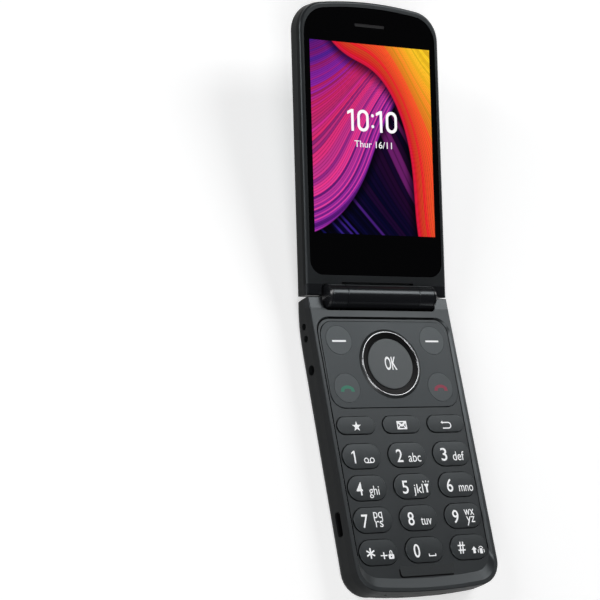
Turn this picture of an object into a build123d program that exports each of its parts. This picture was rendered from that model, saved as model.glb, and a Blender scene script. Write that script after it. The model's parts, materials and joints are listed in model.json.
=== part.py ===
from build123d import *
import os

# Clamshell phone, opened to its stop and lying on its back. Millimetres, +Z up, X across the phone.
# Every piece is drawn about the hinge axis: X across, Y along the phone, Z out of the mating plane.
# The base runs to -Y with its keys facing +Z. The lid is drawn unfolded flat, to +Y with its screen
# facing +Z, and is then turned up to the open stop.

# ---- driving dimensions ------------------------------------------------------------------------
HALF_WIDTH = 28.3          # half of the width at the parting line
LENGTH = 100.7             # hinge axis to the far end of either half
BASE_DEPTH = 10.9          # key rim to the back of the base, at the hinge
LID_DEPTH = 7.3            # screen rim to the outer face of the lid
RIM_TILT = 0.3             # the key rim rises by this angle from the hinge to the far end
CLOSED_GAP = 0.6           # between the two rims when the phone is shut
LID_RISE = 14.9            # angle of the open lid over the base's back
END_GAP = 0.15             # each half's hinge end, back from the axis
FIT = 0.06                 # radial room of a turning fit
SEAM = 0.1                 # gap between neighbouring mouldings

BASE_BAND = 2.75           # height of the key frame's own side wall
LID_BAND = 2.1             # height of the screen frame's own side wall
BASE_LEAN, LID_LEAN = 0.2, 0.3     # how far each rim leans in
KEY_RIM_ROUND, LID_RIM_ROUND = 0.3, 0.9    # rounding of each rim's outer edge
BASE_CORNER, LID_CORNER = 8.3, 10.0
BASE_BOW, LID_BOW = 1.9, 2.9       # sagitta of each far end
BASE_ROUND, LID_ROUND = 3.6, 2.4   # rounding of each outer edge
BACK_RISE_RUN = 16.0       # the back rises to the hinge over this length
BACK_RISE = 2.4
WALL = 1.4                 # side walls
SKIN = 1.0                 # front skin under the keys

BARREL_R = 4.0
BARREL_HALF = 21.5         # half of the hinge barrel's length
KNUCKLE_HALF = 14.35       # half of the middle knuckle
KNUCKLE_GAP = 0.15
CAP_LENGTH = 1.2
CAP_GROOVE, CAP_GROOVE_DEPTH = 0.18, 0.25  # shadow gap between a cap and its knuckle
CAP_CHAMFER = 0.45
BARREL_CLEAR = 0.45        # radial room round the barrel
NOTCH_HALF = 22.6          # half width of the notch that the barrel lies in
BASE_NOTCH = 4.9
LID_NOTCH = 4.15
LID_NOTCH_MIDDLE = 4.75
CARTRIDGE_R, CARTRIDGE_END = 2.75, 2.2
SLEEVE_R, SLEEVE_BORE_R, SLEEVE_START = 2.6, 1.9, 6.0
SHAFT_R, SHAFT_SQUARE, SHAFT_END = 1.5, 3.4, -7.2

TRAY_DEPTH = 0.55          # key field below its rim, at the hinge
TRAY_TOP = (27.0, 26.65, 7.1, 99.2)        # half widths near and far, near end and far end at the rim
TRAY_FOOT = (26.5, 26.0, 7.4, 96.0)        # the same at the foot of the tray's wall
TRAY_BOW, TRAY_CORNER, TRAY_NEAR_CORNER = 1.9, 7.2, 5.4
GROOVE_WIDTH, GROOVE_DEPTH, GROOVE_END = 0.35, 0.3, 87.5    # shadow gap along the foot of the wall
COLUMN_PITCH = 17.92
KEY_WIDTH, KEY_HEIGHT = 14.7, 8.35
FUNCTION_HEIGHT, FUNCTION_Y = 5.9, 44.5
NUMBER_Y, NUMBER_PITCH = 54.9, 10.62
KEY_PROUD = 0.52           # key top over the tray floor
KEY_CROWN_R = 80.0
KEY_EDGE = 0.12            # chamfer round a key's top
KEY_GAP = 0.2
KEY_FLANGE = 0.9
FLANGE_THICK = 0.35
PAD_X = (-10.65, 10.65)    # thumb pad at the bottom of the key field
PAD_Y = (-95.1, -91.6)
PAD_PROUD, PAD_CORNER = 0.3, 0.8

NAV_Y = 23.5
NAV_PANEL = (25.4, 8.65, 38.55, 5.0)  # half width, near end, far end and corner
NAV_PROUD, NAV_GAP = 0.3, 0.18        # panel over the tray floor, and the gap round it
NAV_RING_R, NAV_RING_BORE_R = 12.0, 9.0
CHROME_R, CHROME_WIDTH = 11.36, 0.45
OK_R = 8.85
CORNER_KEY_R, CORNER_KEY_X = 4.97, 18.77
CORNER_KEY_NEAR, CORNER_KEY_FAR = 15.2, 31.7

JACK_Y, JACK_Z, JACK_R, JACK_LENGTH = 24.2, -5.3, 1.75, 14.0
USB_Y, USB_Z, USB_WIDTH, USB_HEIGHT, USB_DEPTH = 76.2, -4.8, 8.2, 3.0, 5.4
LANYARD_YS, LANYARD_Z, LANYARD_R = (9.15, 13.35), -5.35, 1.15
VOLUME_Y, VOLUME_Z, VOLUME_LENGTH, VOLUME_HEIGHT = 24.0, -5.0, 16.0, 2.2
VOLUME_PROUD = 0.5
CAMERA_X, CAMERA_Y, CAMERA_R = -7.0, 22.0, 3.0
TORCH_X, TORCH_R = 1.5, 1.6
GRILLE_X, GRILLE_HALF, GRILLE_HEIGHT = 15.0, 6.0, 5.0
CONTACT_X, CONTACT_Z, CONTACT_WIDTH, CONTACT_HEIGHT = 8.5, -7.2, 3.0, 1.4
MIC_X, MIC_R = -16.0, 0.5
COVER_Y = 36.0             # top edge of the battery cover
COVER_SEAM = 1.85          # seam of the cover, above the back
BATTERY = (22.2, 38.6, 92.8, 4.75)     # half width, near end, far end, thickness
SHIELD = (17.0, 39.5, 73.0, 1.0)       # half width, near end, far end and height of the shield can
SHIELD_SHEET = 0.25
SCREW_SPOTS = [(-25.4, -40.0), (25.4, -40.0), (-24.2, -92.4), (24.2, -92.4)]
SCREW_R, SCREW_HEAD_R, SCREW_HEAD = 0.7, 1.25, 0.7

GLASS = (26.65, 7.1, 98.4)             # half width, near end and far end
GLASS_BOW, GLASS_CORNER, GLASS_NEAR_CORNER = 2.6, 9.0, 5.0
GLASS_THICK = 0.8
GLASS_SINK = 0.2           # glass below the rim
DISPLAY = (25.7, 14.8, 88.2, 1.9)      # half width, near end, far end, thickness
EARPIECE_Y, EARPIECE_LENGTH, EARPIECE_SLOT = 92.4, 12.4, 1.2
OUTER_GLASS = (19.0, 25.5, 79.5, 4.5)  # half width, near end, far end and corner
OUTER_DISPLAY = (15.8, 32.5, 72.5, 1.4)
CALL_KEY_R, CALL_KEY_Y, CALL_KEY_PROUD = 5.1, 13.6, 0.15
LID_SCREWS = [(-23.6, 10.4), (23.6, 10.4), (-21.5, 91.6), (21.5, 91.6)]

# ---- levels, down from the mating plane --------------------------------------------------------
RIM = -CLOSED_GAP / 2
BASE_PART = RIM - BASE_BAND
BACK = RIM - BASE_DEPTH
FLOOR = RIM - TRAY_DEPTH
NAV_TOP = FLOOR + NAV_PROUD
SKIN_UNDER = FLOOR - SKIN
BOARD_TOP = SKIN_UNDER - 1.1
BOARD_UNDER = BOARD_TOP - 0.8
BATTERY_ROOF = BOARD_UNDER - 1.45
COVER_Z = BACK + COVER_SEAM
LID_PART = RIM - LID_BAND
LID_BACK = RIM - LID_DEPTH
GLASS_TOP = RIM - GLASS_SINK
GLASS_UNDER = GLASS_TOP - GLASS_THICK
INNER = HALF_WIDTH - WALL
KNUCKLE_START = KNUCKLE_HALF + KNUCKLE_GAP
CAP_START = BARREL_HALF - CAP_LENGTH

# The origin of the part is on the table, under the middle of the base's flat back.
HINGE_Y = 56.0
HINGE_Z = -BACK
BASE_PLACE = Pos(0, HINGE_Y, HINGE_Z)
RIM_PLACE = Pos(0, 0, RIM) * Rot(-RIM_TILT, 0, 0)
LID_PLACE = BASE_PLACE * Rot(LID_RISE, 0, 0)


# ---- helpers -----------------------------------------------------------------------------------
def block(x0, x1, y0, y1, z0, z1):
    """Box between two corners."""
    return Pos((x0 + x1) / 2, (y0 + y1) / 2, (z0 + z1) / 2) * Box(x1 - x0, y1 - y0, z1 - z0)


def plate(half, y0, y1, z0, z1, radius, x=0.0):
    """Box about an X position with its four upright edges rounded."""
    return Pos(x, (y0 + y1) / 2, z0) * extrude(RectangleRounded(2 * half, y1 - y0, radius), z1 - z0)


def disc(x, y, z0, z1, radius):
    """Upright cylinder."""
    return Pos(x, y, (z0 + z1) / 2) * Cylinder(radius, z1 - z0)


def bar(x0, x1, y, z, radius):
    """Cylinder that lies along X."""
    return Pos((x0 + x1) / 2, y, z) * Rot(0, 90, 0) * Cylinder(radius, x1 - x0)


def stadium(x, y, length, width, z0, z1):
    """Upright slot shape, long along X."""
    return Pos(x, y, z0) * extrude(SlotOverall(length, width), z1 - z0)


def through_side(x0, x1, y, z, sketch):
    """A sketch carried along X. Its own X lies along the phone's -Z and its own Y along Y."""
    return Pos(x0, y, z) * Rot(0, 90, 0) * extrude(sketch, x1 - x0)


def half_outline(near_half, far_half, length, bow, corner, start=END_GAP):
    """Plan of one half of the phone, towards -Y: two sides, a bowed end and two round corners."""
    shoulder = bow - length
    face = make_face([
        Line((near_half, -start), (far_half, shoulder)),
        ThreePointArc((far_half, shoulder), (0, -length), (-far_half, shoulder)),
        Line((-far_half, shoulder), (-near_half, -start)),
        Line((-near_half, -start), (near_half, -start)),
    ])
    return fillet(face.vertices().sort_by(Axis.Y)[:2], corner)


def revolved(points):
    """Ring or disc about the Z axis from a profile of radius and height."""
    return revolve(Plane.XZ * make_face(Polyline(*points, close=True)), Axis.Z)


def unfolded(shape):
    """Mirrors what is drawn towards -Y to the lid's side, +Y."""
    return mirror(shape, Plane.XZ)


# ---- the key field -----------------------------------------------------------------------------
def key_spots():
    """Name, x, y and height of every key in the fifteen-key field."""
    rows = [
        (-FUNCTION_Y, FUNCTION_HEIGHT, ("key_star", "key_message", "key_back")),
        (-NUMBER_Y, KEY_HEIGHT, ("key_1", "key_2", "key_3")),
        (-NUMBER_Y - NUMBER_PITCH, KEY_HEIGHT, ("key_4", "key_5", "key_6")),
        (-NUMBER_Y - 2 * NUMBER_PITCH, KEY_HEIGHT, ("key_7", "key_8", "key_9")),
        (-NUMBER_Y - 3 * NUMBER_PITCH, KEY_HEIGHT, ("key_asterisk", "key_0", "key_hash")),
    ]
    return [(name, (column - 1) * COLUMN_PITCH, y, height)
            for y, height, names in rows for column, name in enumerate(names)]


def corner_spots():
    """Name, x and y of the round keys at the corners of the navigation panel."""
    return [
        ("key_soft_left", -CORNER_KEY_X, -CORNER_KEY_NEAR),
        ("key_soft_right", CORNER_KEY_X, -CORNER_KEY_NEAR),
        ("key_call", -CORNER_KEY_X, -CORNER_KEY_FAR),
        ("key_end", CORNER_KEY_X, -CORNER_KEY_FAR),
    ]


def field_key(x, y, height):
    """Key cap with a faint crown, a chamfered top edge and a flange under the skin."""
    top = FLOOR + KEY_PROUD
    cap = stadium(x, y, KEY_WIDTH, height, SKIN_UNDER - 0.05, top)
    cap &= bar(x - KEY_WIDTH, x + KEY_WIDTH, y, top - KEY_CROWN_R, KEY_CROWN_R)
    cap = chamfer(cap.edges().filter_by(lambda e: e.center().Z > FLOOR), KEY_EDGE)
    under = SKIN_UNDER - 0.05
    return cap + stadium(x, y, KEY_WIDTH + KEY_FLANGE, height + KEY_FLANGE, under - FLANGE_THICK, under)


def corner_key(x, y):
    """Flat round key, flush with the navigation panel, with a flange below it."""
    under = SKIN_UNDER + 0.25
    key = disc(x, y, under, NAV_TOP + 0.05, CORNER_KEY_R)
    return key + disc(x, y, under - FLANGE_THICK, under, CORNER_KEY_R + 0.35)


def nav_ring():
    """Rocker ring: sloped outer shoulder, groove for the chrome trim and a slope down to the OK key."""
    top, seat = NAV_TOP + 0.38, NAV_TOP - 0.02
    under, flange, foot = SKIN_UNDER + 0.4, SKIN_UNDER + 0.25, SKIN_UNDER - 0.1
    ring = revolved([
        (NAV_RING_BORE_R, under), (NAV_RING_BORE_R, NAV_TOP + 0.03),
        (CHROME_R - CHROME_WIDTH, top), (CHROME_R - CHROME_WIDTH, seat),
        (CHROME_R, seat), (CHROME_R, top), (NAV_RING_R, NAV_TOP),
        (NAV_RING_R, flange), (NAV_RING_R + 0.7, flange), (NAV_RING_R + 0.7, foot),
        (NAV_RING_BORE_R + 1.2, foot), (NAV_RING_BORE_R + 1.2, under),
    ])
    return Pos(0, -NAV_Y, 0) * ring


def nav_chrome_ring():
    """Thin bright trim, pressed into the ring's groove."""
    seat, edge, crest = NAV_TOP - 0.02, NAV_TOP + 0.4, NAV_TOP + 0.46
    trim = revolved([
        (CHROME_R - CHROME_WIDTH, seat), (CHROME_R, seat),
        (CHROME_R, edge), (CHROME_R - 0.12, crest), (CHROME_R - CHROME_WIDTH, edge),
    ])
    return Pos(0, -NAV_Y, 0) * trim


def nav_ok():
    """Centre key with a soft rim, held under the ring by its flange with room for the ring's travel."""
    under = SKIN_UNDER + 0.05
    key = disc(0, -NAV_Y, under, NAV_TOP + 0.33, OK_R)
    key = fillet(key.edges().sort_by(Axis.Z)[-1], 0.25)
    return key + disc(0, -NAV_Y, under - 0.45, under, OK_R + 1.1)


def nav_panel():
    """Raised panel under the navigation keys, with a flange that bears on the frame from below."""
    half, near, far, corner = NAV_PANEL
    under, foot = SKIN_UNDER + 0.3, SKIN_UNDER - 0.35
    panel = plate(half, -far, -near, under, NAV_TOP, corner)
    panel = chamfer(panel.faces().sort_by(Axis.Z)[-1].edges(), 0.1)
    rim = plate(half, -far, -near, SKIN_UNDER, under, corner)
    rim += plate(half + 0.5, -far - 0.5, -near + 0.5, foot, SKIN_UNDER, corner + 0.5)
    rim -= plate(half - 0.6, -far + 0.6, -near - 0.6, foot, under, corner - 0.6)
    panel += rim
    panel -= disc(0, -NAV_Y, SKIN_UNDER, RIM, NAV_RING_R + SEAM)
    for _, x, y in corner_spots():
        panel -= disc(x, y, SKIN_UNDER, RIM, CORNER_KEY_R + SEAM)
    return panel


def pad_block(z0, z1):
    """Upright block with the thumb pad's plan: the two corners towards the user are rounded."""
    pad = block(*PAD_X, *PAD_Y, z0, z1)
    return fillet(pad.edges().filter_by(Axis.Z).sort_by(Axis.Y)[:2], PAD_CORNER)


def thumb_pad():
    """Raised lip at the foot of the key field: a step towards the user that fades to the keys."""
    seat = SKIN_UNDER + 0.4
    profile = Polyline((PAD_Y[0], seat), (PAD_Y[0], FLOOR + PAD_PROUD), (PAD_Y[1], FLOOR + 0.02),
                       (PAD_Y[1], seat), close=True)
    wedge = Pos(PAD_X[0], 0, 0) * extrude(Plane.YZ * make_face(profile), PAD_X[1] - PAD_X[0])
    return wedge & pad_block(seat, FLOOR + PAD_PROUD)


# ---- base shells -------------------------------------------------------------------------------
def base_envelope():
    """Outer form of the base below its parting line: the back rises in a curve to the hinge."""
    plan = half_outline(HALF_WIDTH, HALF_WIDTH, LENGTH, BASE_BOW, BASE_CORNER)
    body = extrude(Pos(0, 0, BACK) * plan, BASE_PART - BACK)
    bend, rise = (-BACK_RISE_RUN, BACK), (0, BACK + BACK_RISE)
    beyond = BACK - 5
    under = make_face([TangentArc(bend, rise, tangent=(1, 0)), Line(rise, (0, beyond)),
                       Line((0, beyond), (-BACK_RISE_RUN, beyond)), Line((-BACK_RISE_RUN, beyond), bend)])
    body -= extrude(Plane.YZ * under, HALF_WIDTH + 1, both=True)
    level = BACK + BACK_RISE + 0.1
    back_edges = [edge for edge in body.edges() if edge.bounding_box().max.Z < level
                  and (abs(edge.center().X) > HALF_WIDTH - 4 or edge.center().Y < BASE_BOW - LENGTH + 4)]
    return fillet(back_edges, BASE_ROUND)


def key_frame():
    """Front moulding of the base: leaning side band, sunk key tray and the middle hinge knuckle."""
    lower = half_outline(HALF_WIDTH, HALF_WIDTH, LENGTH, BASE_BOW, BASE_CORNER)
    rim_half = HALF_WIDTH - BASE_LEAN
    upper = half_outline(rim_half, rim_half, LENGTH - BASE_LEAN, BASE_BOW, BASE_CORNER)
    frame = loft([Pos(0, 0, BASE_PART) * lower, RIM_PLACE * upper])
    frame = fillet(frame.faces().sort_by(Axis.Z)[-1].edges(), KEY_RIM_ROUND)
    frame -= key_tray()
    frame -= foot_groove()
    frame -= plate(INNER, BASE_BOW + WALL - LENGTH, -BASE_NOTCH - WALL, BASE_PART, SKIN_UNDER,
                   BASE_CORNER - WALL)
    frame -= plate(NOTCH_HALF, -BASE_NOTCH, BASE_NOTCH, BASE_PART, RIM + 0.5, 1.8)
    for _, x, y, height in key_spots():
        frame -= stadium(x, y, KEY_WIDTH + 2 * KEY_GAP, height + 2 * KEY_GAP, SKIN_UNDER, FLOOR)
    half, near, far, corner = NAV_PANEL
    frame -= plate(half + NAV_GAP, -far - NAV_GAP, -near + NAV_GAP, SKIN_UNDER, FLOOR, corner + NAV_GAP)
    frame -= pad_block(SKIN_UNDER + 0.4, FLOOR)
    frame += middle_knuckle()
    for x, y in SCREW_SPOTS:
        frame += disc(x, y, BASE_PART, SKIN_UNDER, SCREW_HEAD_R)
        frame -= disc(x, y, BASE_PART, SKIN_UNDER, SCREW_R)
    return frame


def tray_outline(ends, inset=0.0):
    """Plan of the sunk field at its rim or at its foot, or of the same drawn further in."""
    near_half, far_half, near, far = ends
    face = half_outline(near_half - inset, far_half - inset, far - inset, TRAY_BOW, TRAY_CORNER - inset,
                        near + inset)
    return fillet(face.vertices().sort_by(Axis.Y)[-2:], TRAY_NEAR_CORNER - inset)


def key_tray():
    """The sunk field as one tool: its floor is level, so its sloped wall grows with the rising rim."""
    top = RIM_PLACE * tray_outline(TRAY_TOP)
    return loft([Pos(0, 0, FLOOR) * tray_outline(TRAY_FOOT), top]) + extrude(top, 1.0)


def foot_groove():
    """Shadow gap along the foot of the tray's wall, round the near end and down both sides."""
    gap = tray_outline(TRAY_FOOT) - tray_outline(TRAY_FOOT, GROOVE_WIDTH)
    gap = extrude(Pos(0, 0, FLOOR - GROOVE_DEPTH) * gap, GROOVE_DEPTH)
    return gap & block(-HALF_WIDTH, HALF_WIDTH, -GROOVE_END, 0, FLOOR - GROOVE_DEPTH, FLOOR)


def middle_knuckle():
    """Knuckle of the base with its web, bored for the hinge cartridge and for the cable sleeve."""
    knuckle = bar(-KNUCKLE_HALF, KNUCKLE_HALF, 0, 0, BARREL_R)
    knuckle = chamfer(knuckle.edges().filter_by(GeomType.CIRCLE), 0.12)
    knuckle += block(-KNUCKLE_HALF, KNUCKLE_HALF, -BASE_NOTCH - WALL, -1.5, BASE_PART - 0.9, BASE_PART + 0.75)
    knuckle -= bar(-KNUCKLE_HALF, CARTRIDGE_END, 0, 0, CARTRIDGE_R)
    return knuckle - bar(SLEEVE_START - 1, KNUCKLE_HALF, 0, 0, SLEEVE_R + FIT)


def rear_housing():
    """Rear moulding of the base: side walls, upper component cell, board tray and battery well."""
    body = base_envelope()
    body -= plate(INNER, BASE_BOW + WALL - LENGTH, -BASE_NOTCH - WALL - SEAM, BOARD_UNDER - 0.05,
                  BASE_PART, BASE_CORNER - WALL)
    cell = plate(INNER, -COVER_Y + 1, -9, BACK + 1.3, BOARD_UNDER, 3.0)
    cell = fillet(cell.faces().sort_by(Axis.Z)[0].edges(), 2.9)
    body -= cell - lanyard_block()
    half, near, far, height = SHIELD
    body -= plate(half + SEAM, -far - SEAM, -near + SEAM, BOARD_UNDER - height - SEAM, BOARD_UNDER, 1.0)
    half, near, far, _ = BATTERY
    body -= block(-half - 0.3, half + 0.3, -far - 0.3, -near + 0.3, BACK, BATTERY_ROOF)
    body -= block(-HALF_WIDTH - 1, HALF_WIDTH + 1, -LENGTH - 1, -COVER_Y, BACK - 1, COVER_Z)
    body -= bar(-NOTCH_HALF, NOTCH_HALF, 0, 0, BARREL_R + BARREL_CLEAR)
    web = KNUCKLE_HALF + 0.05
    body -= block(-web, web, -BASE_NOTCH - WALL - 0.05, 0, BASE_PART - 0.95, BASE_PART)
    body -= side_openings() + back_openings()
    for x in (-CONTACT_X, CONTACT_X):
        body -= block(x - CONTACT_WIDTH / 2, x + CONTACT_WIDTH / 2, -LENGTH - 1, 1.4 - LENGTH,
                      CONTACT_Z - CONTACT_HEIGHT / 2, CONTACT_Z + CONTACT_HEIGHT / 2)
    body -= Pos(MIC_X, -LENGTH + 2.5, BOARD_UNDER) * Rot(90, 0, 0) * Cylinder(MIC_R, 8)
    for x, y in SCREW_SPOTS:
        body -= disc(x, y, COVER_Z, BASE_PART, SCREW_R)
        body -= disc(x, y, COVER_Z, COVER_Z + 0.8, SCREW_HEAD_R + 0.1)
    return body


def lanyard_block():
    """Solid corner of the housing that the lanyard loop runs through."""
    return block(-INNER - 1, -22.5, -16, -6, BACK, BASE_PART)


def side_openings():
    """Jack, charging socket, lanyard holes with the pocket that joins them, and the volume key's slot."""
    outside = HALF_WIDTH + 1
    tool = through_side(-outside, 0.5 - INNER, -JACK_Y, JACK_Z, Circle(JACK_R))
    tool += through_side(-outside, USB_DEPTH + 0.4 - HALF_WIDTH, -USB_Y, USB_Z,
                         RectangleRounded(USB_HEIGHT, USB_WIDTH, 1.1))
    for y in LANYARD_YS:
        tool += through_side(-outside, 2.5 - HALF_WIDTH, -y, LANYARD_Z, Circle(LANYARD_R))
    tool += block(1.5 - HALF_WIDTH, 3.2 - HALF_WIDTH, -LANYARD_YS[1] - LANYARD_R, -LANYARD_YS[0] + LANYARD_R,
                  LANYARD_Z - LANYARD_R, LANYARD_Z + LANYARD_R)
    slot = SlotOverall(VOLUME_LENGTH + 2 * KEY_GAP, VOLUME_HEIGHT + 2 * KEY_GAP, rotation=90)
    return tool + through_side(INNER - 0.2, outside, -VOLUME_Y, VOLUME_Z, slot)


def back_openings():
    """Camera, torch and loudspeaker openings in the upper back."""
    tool = disc(CAMERA_X, -CAMERA_Y, BACK - 1, BACK + 2, CAMERA_R + 0.05)
    tool += disc(TORCH_X, -CAMERA_Y, BACK - 1, BACK + 2, TORCH_R + 0.05)
    return tool + plate(GRILLE_HALF + 0.05, -CAMERA_Y - GRILLE_HEIGHT / 2 - 0.05,
                        -CAMERA_Y + GRILLE_HEIGHT / 2 + 0.05, BACK - 1, BACK + 2, 1.2, GRILLE_X)


def battery_cover():
    """Cover that wraps round the back edge below the seam, hollow over the battery, with a nail notch."""
    cover = base_envelope() & block(-HALF_WIDTH - 1, HALF_WIDTH + 1, -LENGTH - 1, -COVER_Y - SEAM,
                                    BACK - 1, COVER_Z - SEAM)
    cover -= plate(24.4, -LENGTH + 5.5, -COVER_Y - 1.3, BACK + 1.15, COVER_Z, 3.0)
    return cover - Pos(0, -COVER_Y, BACK - 4.5) * Sphere(5.2)


# ---- inside the base ---------------------------------------------------------------------------
def battery():
    half, near, far, thick = BATTERY
    top = BATTERY_ROOF - 0.1
    return plate(half, -far, -near, top - thick, top, 2.0)


def jack_notch(z0, z1):
    """Room for the headphone jack in the left edge of the board and of the dome sheet."""
    return block(-24, JACK_LENGTH - HALF_WIDTH + 0.3, -JACK_Y - 3.2, -JACK_Y + 3.2, z0, z1)


def main_board():
    """Circuit board, notched for the jack and for the charging socket."""
    board = plate(23.9, -90.3, -7.2, BOARD_UNDER, BOARD_TOP, 2.0)
    board -= jack_notch(BOARD_UNDER, BOARD_TOP)
    room = USB_WIDTH / 2 + 0.3
    return board - block(-24, USB_DEPTH - HALF_WIDTH + 0.3, -USB_Y - room, -USB_Y + room, BOARD_UNDER, BOARD_TOP)


def dome_sheet():
    """Sheet with one switch dome under every key, at the height the domes have when pressed."""
    sheet = plate(22.4, -90.0, -8.0, BOARD_TOP, BOARD_TOP + 0.1, 2.0)
    sheet -= jack_notch(BOARD_TOP, BOARD_TOP + 0.1)
    spots = [(x, y) for _, x, y, _ in key_spots()] + [(x, y) for _, x, y in corner_spots()]
    spots += [(0, -NAV_Y)] + [(dx * 10.4, dy * 10.4 - NAV_Y) for dx, dy in ((1, 0), (0, 1), (0, -1))]
    for x, y in spots:
        sheet += disc(x, y, BOARD_TOP, BOARD_TOP + 0.3, 2.1)
    return sheet


def headphone_jack():
    body = block(-INNER, JACK_LENGTH - HALF_WIDTH, -JACK_Y - 3, -JACK_Y + 3, JACK_Z - 2.5, JACK_Z + 2.5)
    low_edge = body.edges().filter_by(Axis.Y).sort_by(lambda e: e.center().X + e.center().Z)[0]
    return chamfer(low_edge, 0.8) - bar(-INNER, JACK_LENGTH - HALF_WIDTH - 0.8, -JACK_Y, JACK_Z, JACK_R)


def charging_socket():
    """Metal shell of the charging socket with its contact tongue."""
    front, rear = 0.5 - HALF_WIDTH, USB_DEPTH - HALF_WIDTH
    shell = through_side(front, rear, -USB_Y, USB_Z, RectangleRounded(USB_HEIGHT, USB_WIDTH, 1.1))
    shell -= through_side(front, rear - 0.6, -USB_Y, USB_Z,
                          RectangleRounded(USB_HEIGHT - 0.6, USB_WIDTH - 0.6, 0.8))
    return shell + block(front + 0.8, rear, -USB_Y - 2.2, -USB_Y + 2.2, USB_Z - 0.3, USB_Z + 0.3)


def loudspeaker():
    top = BACK + 1.4 + 3.4
    return plate(7.5, -CAMERA_Y - 5.5, -CAMERA_Y + 5.5, BACK + 1.4, top, 1.5, GRILLE_X)


def speaker_grille():
    """Slotted insert in the back, a hair below the surface so that sound gets out on a table."""
    grille = plate(GRILLE_HALF, -CAMERA_Y - GRILLE_HEIGHT / 2, -CAMERA_Y + GRILLE_HEIGHT / 2,
                   BACK + 0.25, BACK + 1.3, 1.1, GRILLE_X)
    for step in range(5):
        grille -= stadium(GRILLE_X, -CAMERA_Y + (step - 2) * 0.95, 10.4, 0.5, BACK, BACK + 1.5)
    return grille


def vibration_motor():
    return disc(-16, -13.6, BOARD_UNDER - 2.8, BOARD_UNDER - 0.1, 4.0)


def microphone():
    return block(MIC_X - 2, MIC_X + 2, -LENGTH + 4.6, -LENGTH + 7.6, BOARD_UNDER, BOARD_TOP)


def camera_module():
    """Square base under a round lens barrel."""
    base = plate(4.2, -CAMERA_Y - 4.2, -CAMERA_Y + 4.2, BOARD_UNDER - 1.6, BOARD_UNDER - 0.1, 0.8, CAMERA_X)
    return base + disc(CAMERA_X, -CAMERA_Y, BACK + 1.2, BOARD_UNDER - 1.6, CAMERA_R - 0.2)


def camera_window():
    return disc(CAMERA_X, -CAMERA_Y, BACK + 0.15, BACK + 1.15, CAMERA_R)


def torch_lens():
    return disc(TORCH_X, -CAMERA_Y, BACK + 0.15, BACK + 2.4, TORCH_R)


def charging_contacts():
    """Two plated pads in the bottom end, for a desk cradle."""
    pads = [block(x - 1.3, x + 1.3, 0.55 - LENGTH, 1.4 - LENGTH, CONTACT_Z - 0.5, CONTACT_Z + 0.5)
            for x in (-CONTACT_X, CONTACT_X)]
    return Compound(children=pads)


def base_screws():
    """Four screws that close the base from under the battery cover."""
    screws = []
    for x, y in SCREW_SPOTS:
        shank = disc(x, y, COVER_Z + 0.05, SKIN_UNDER - 0.2, SCREW_R)
        screws.append(shank + disc(x, y, COVER_Z + 0.05, COVER_Z + 0.05 + SCREW_HEAD, SCREW_HEAD_R))
    return Compound(children=screws)


def hinge_cartridge():
    """Spring and cam cartridge in the middle knuckle, bored for the lid's shaft."""
    barrel = bar(0.15 - KNUCKLE_HALF, CARTRIDGE_END, 0, 0, CARTRIDGE_R)
    return barrel - bar(0.15 - KNUCKLE_HALF, SHAFT_END + 0.2, 0, 0, SHAFT_R + FIT)


def volume_key():
    """Two-way side key with a flange inside the wall."""
    face = HALF_WIDTH + VOLUME_PROUD
    key = through_side(INNER - 0.25, face, -VOLUME_Y, VOLUME_Z,
                       SlotOverall(VOLUME_LENGTH, VOLUME_HEIGHT, rotation=90))
    key = fillet(key.faces().sort_by(Axis.X)[-1].edges(), 0.4)
    return key + through_side(INNER - 0.75, INNER - 0.25, -VOLUME_Y, VOLUME_Z,
                              SlotOverall(VOLUME_LENGTH + 1.6, VOLUME_HEIGHT + 1.4, rotation=90))


def board_shield():
    """Thin steel can under the board, over the radio parts, open to the board."""
    half, near, far, height = SHIELD
    can = plate(half, -far, -near, BOARD_UNDER - height, BOARD_UNDER, 1.0)
    inside = half - SHIELD_SHEET
    return can - plate(inside, SHIELD_SHEET - far, -near - SHIELD_SHEET, BOARD_UNDER - height + SHIELD_SHEET,
                       BOARD_UNDER, 0.75)


# ---- lid, drawn unfolded -----------------------------------------------------------------------
def glass_outline(grow):
    """Plan of the inner glass towards -Y, or of the recess that it lies in when grown."""
    half, near, far = GLASS
    face = half_outline(half + grow, half + grow, far + grow, GLASS_BOW, GLASS_CORNER, near - grow)
    return fillet(face.vertices().sort_by(Axis.Y)[-2:], GLASS_NEAR_CORNER)


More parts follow.
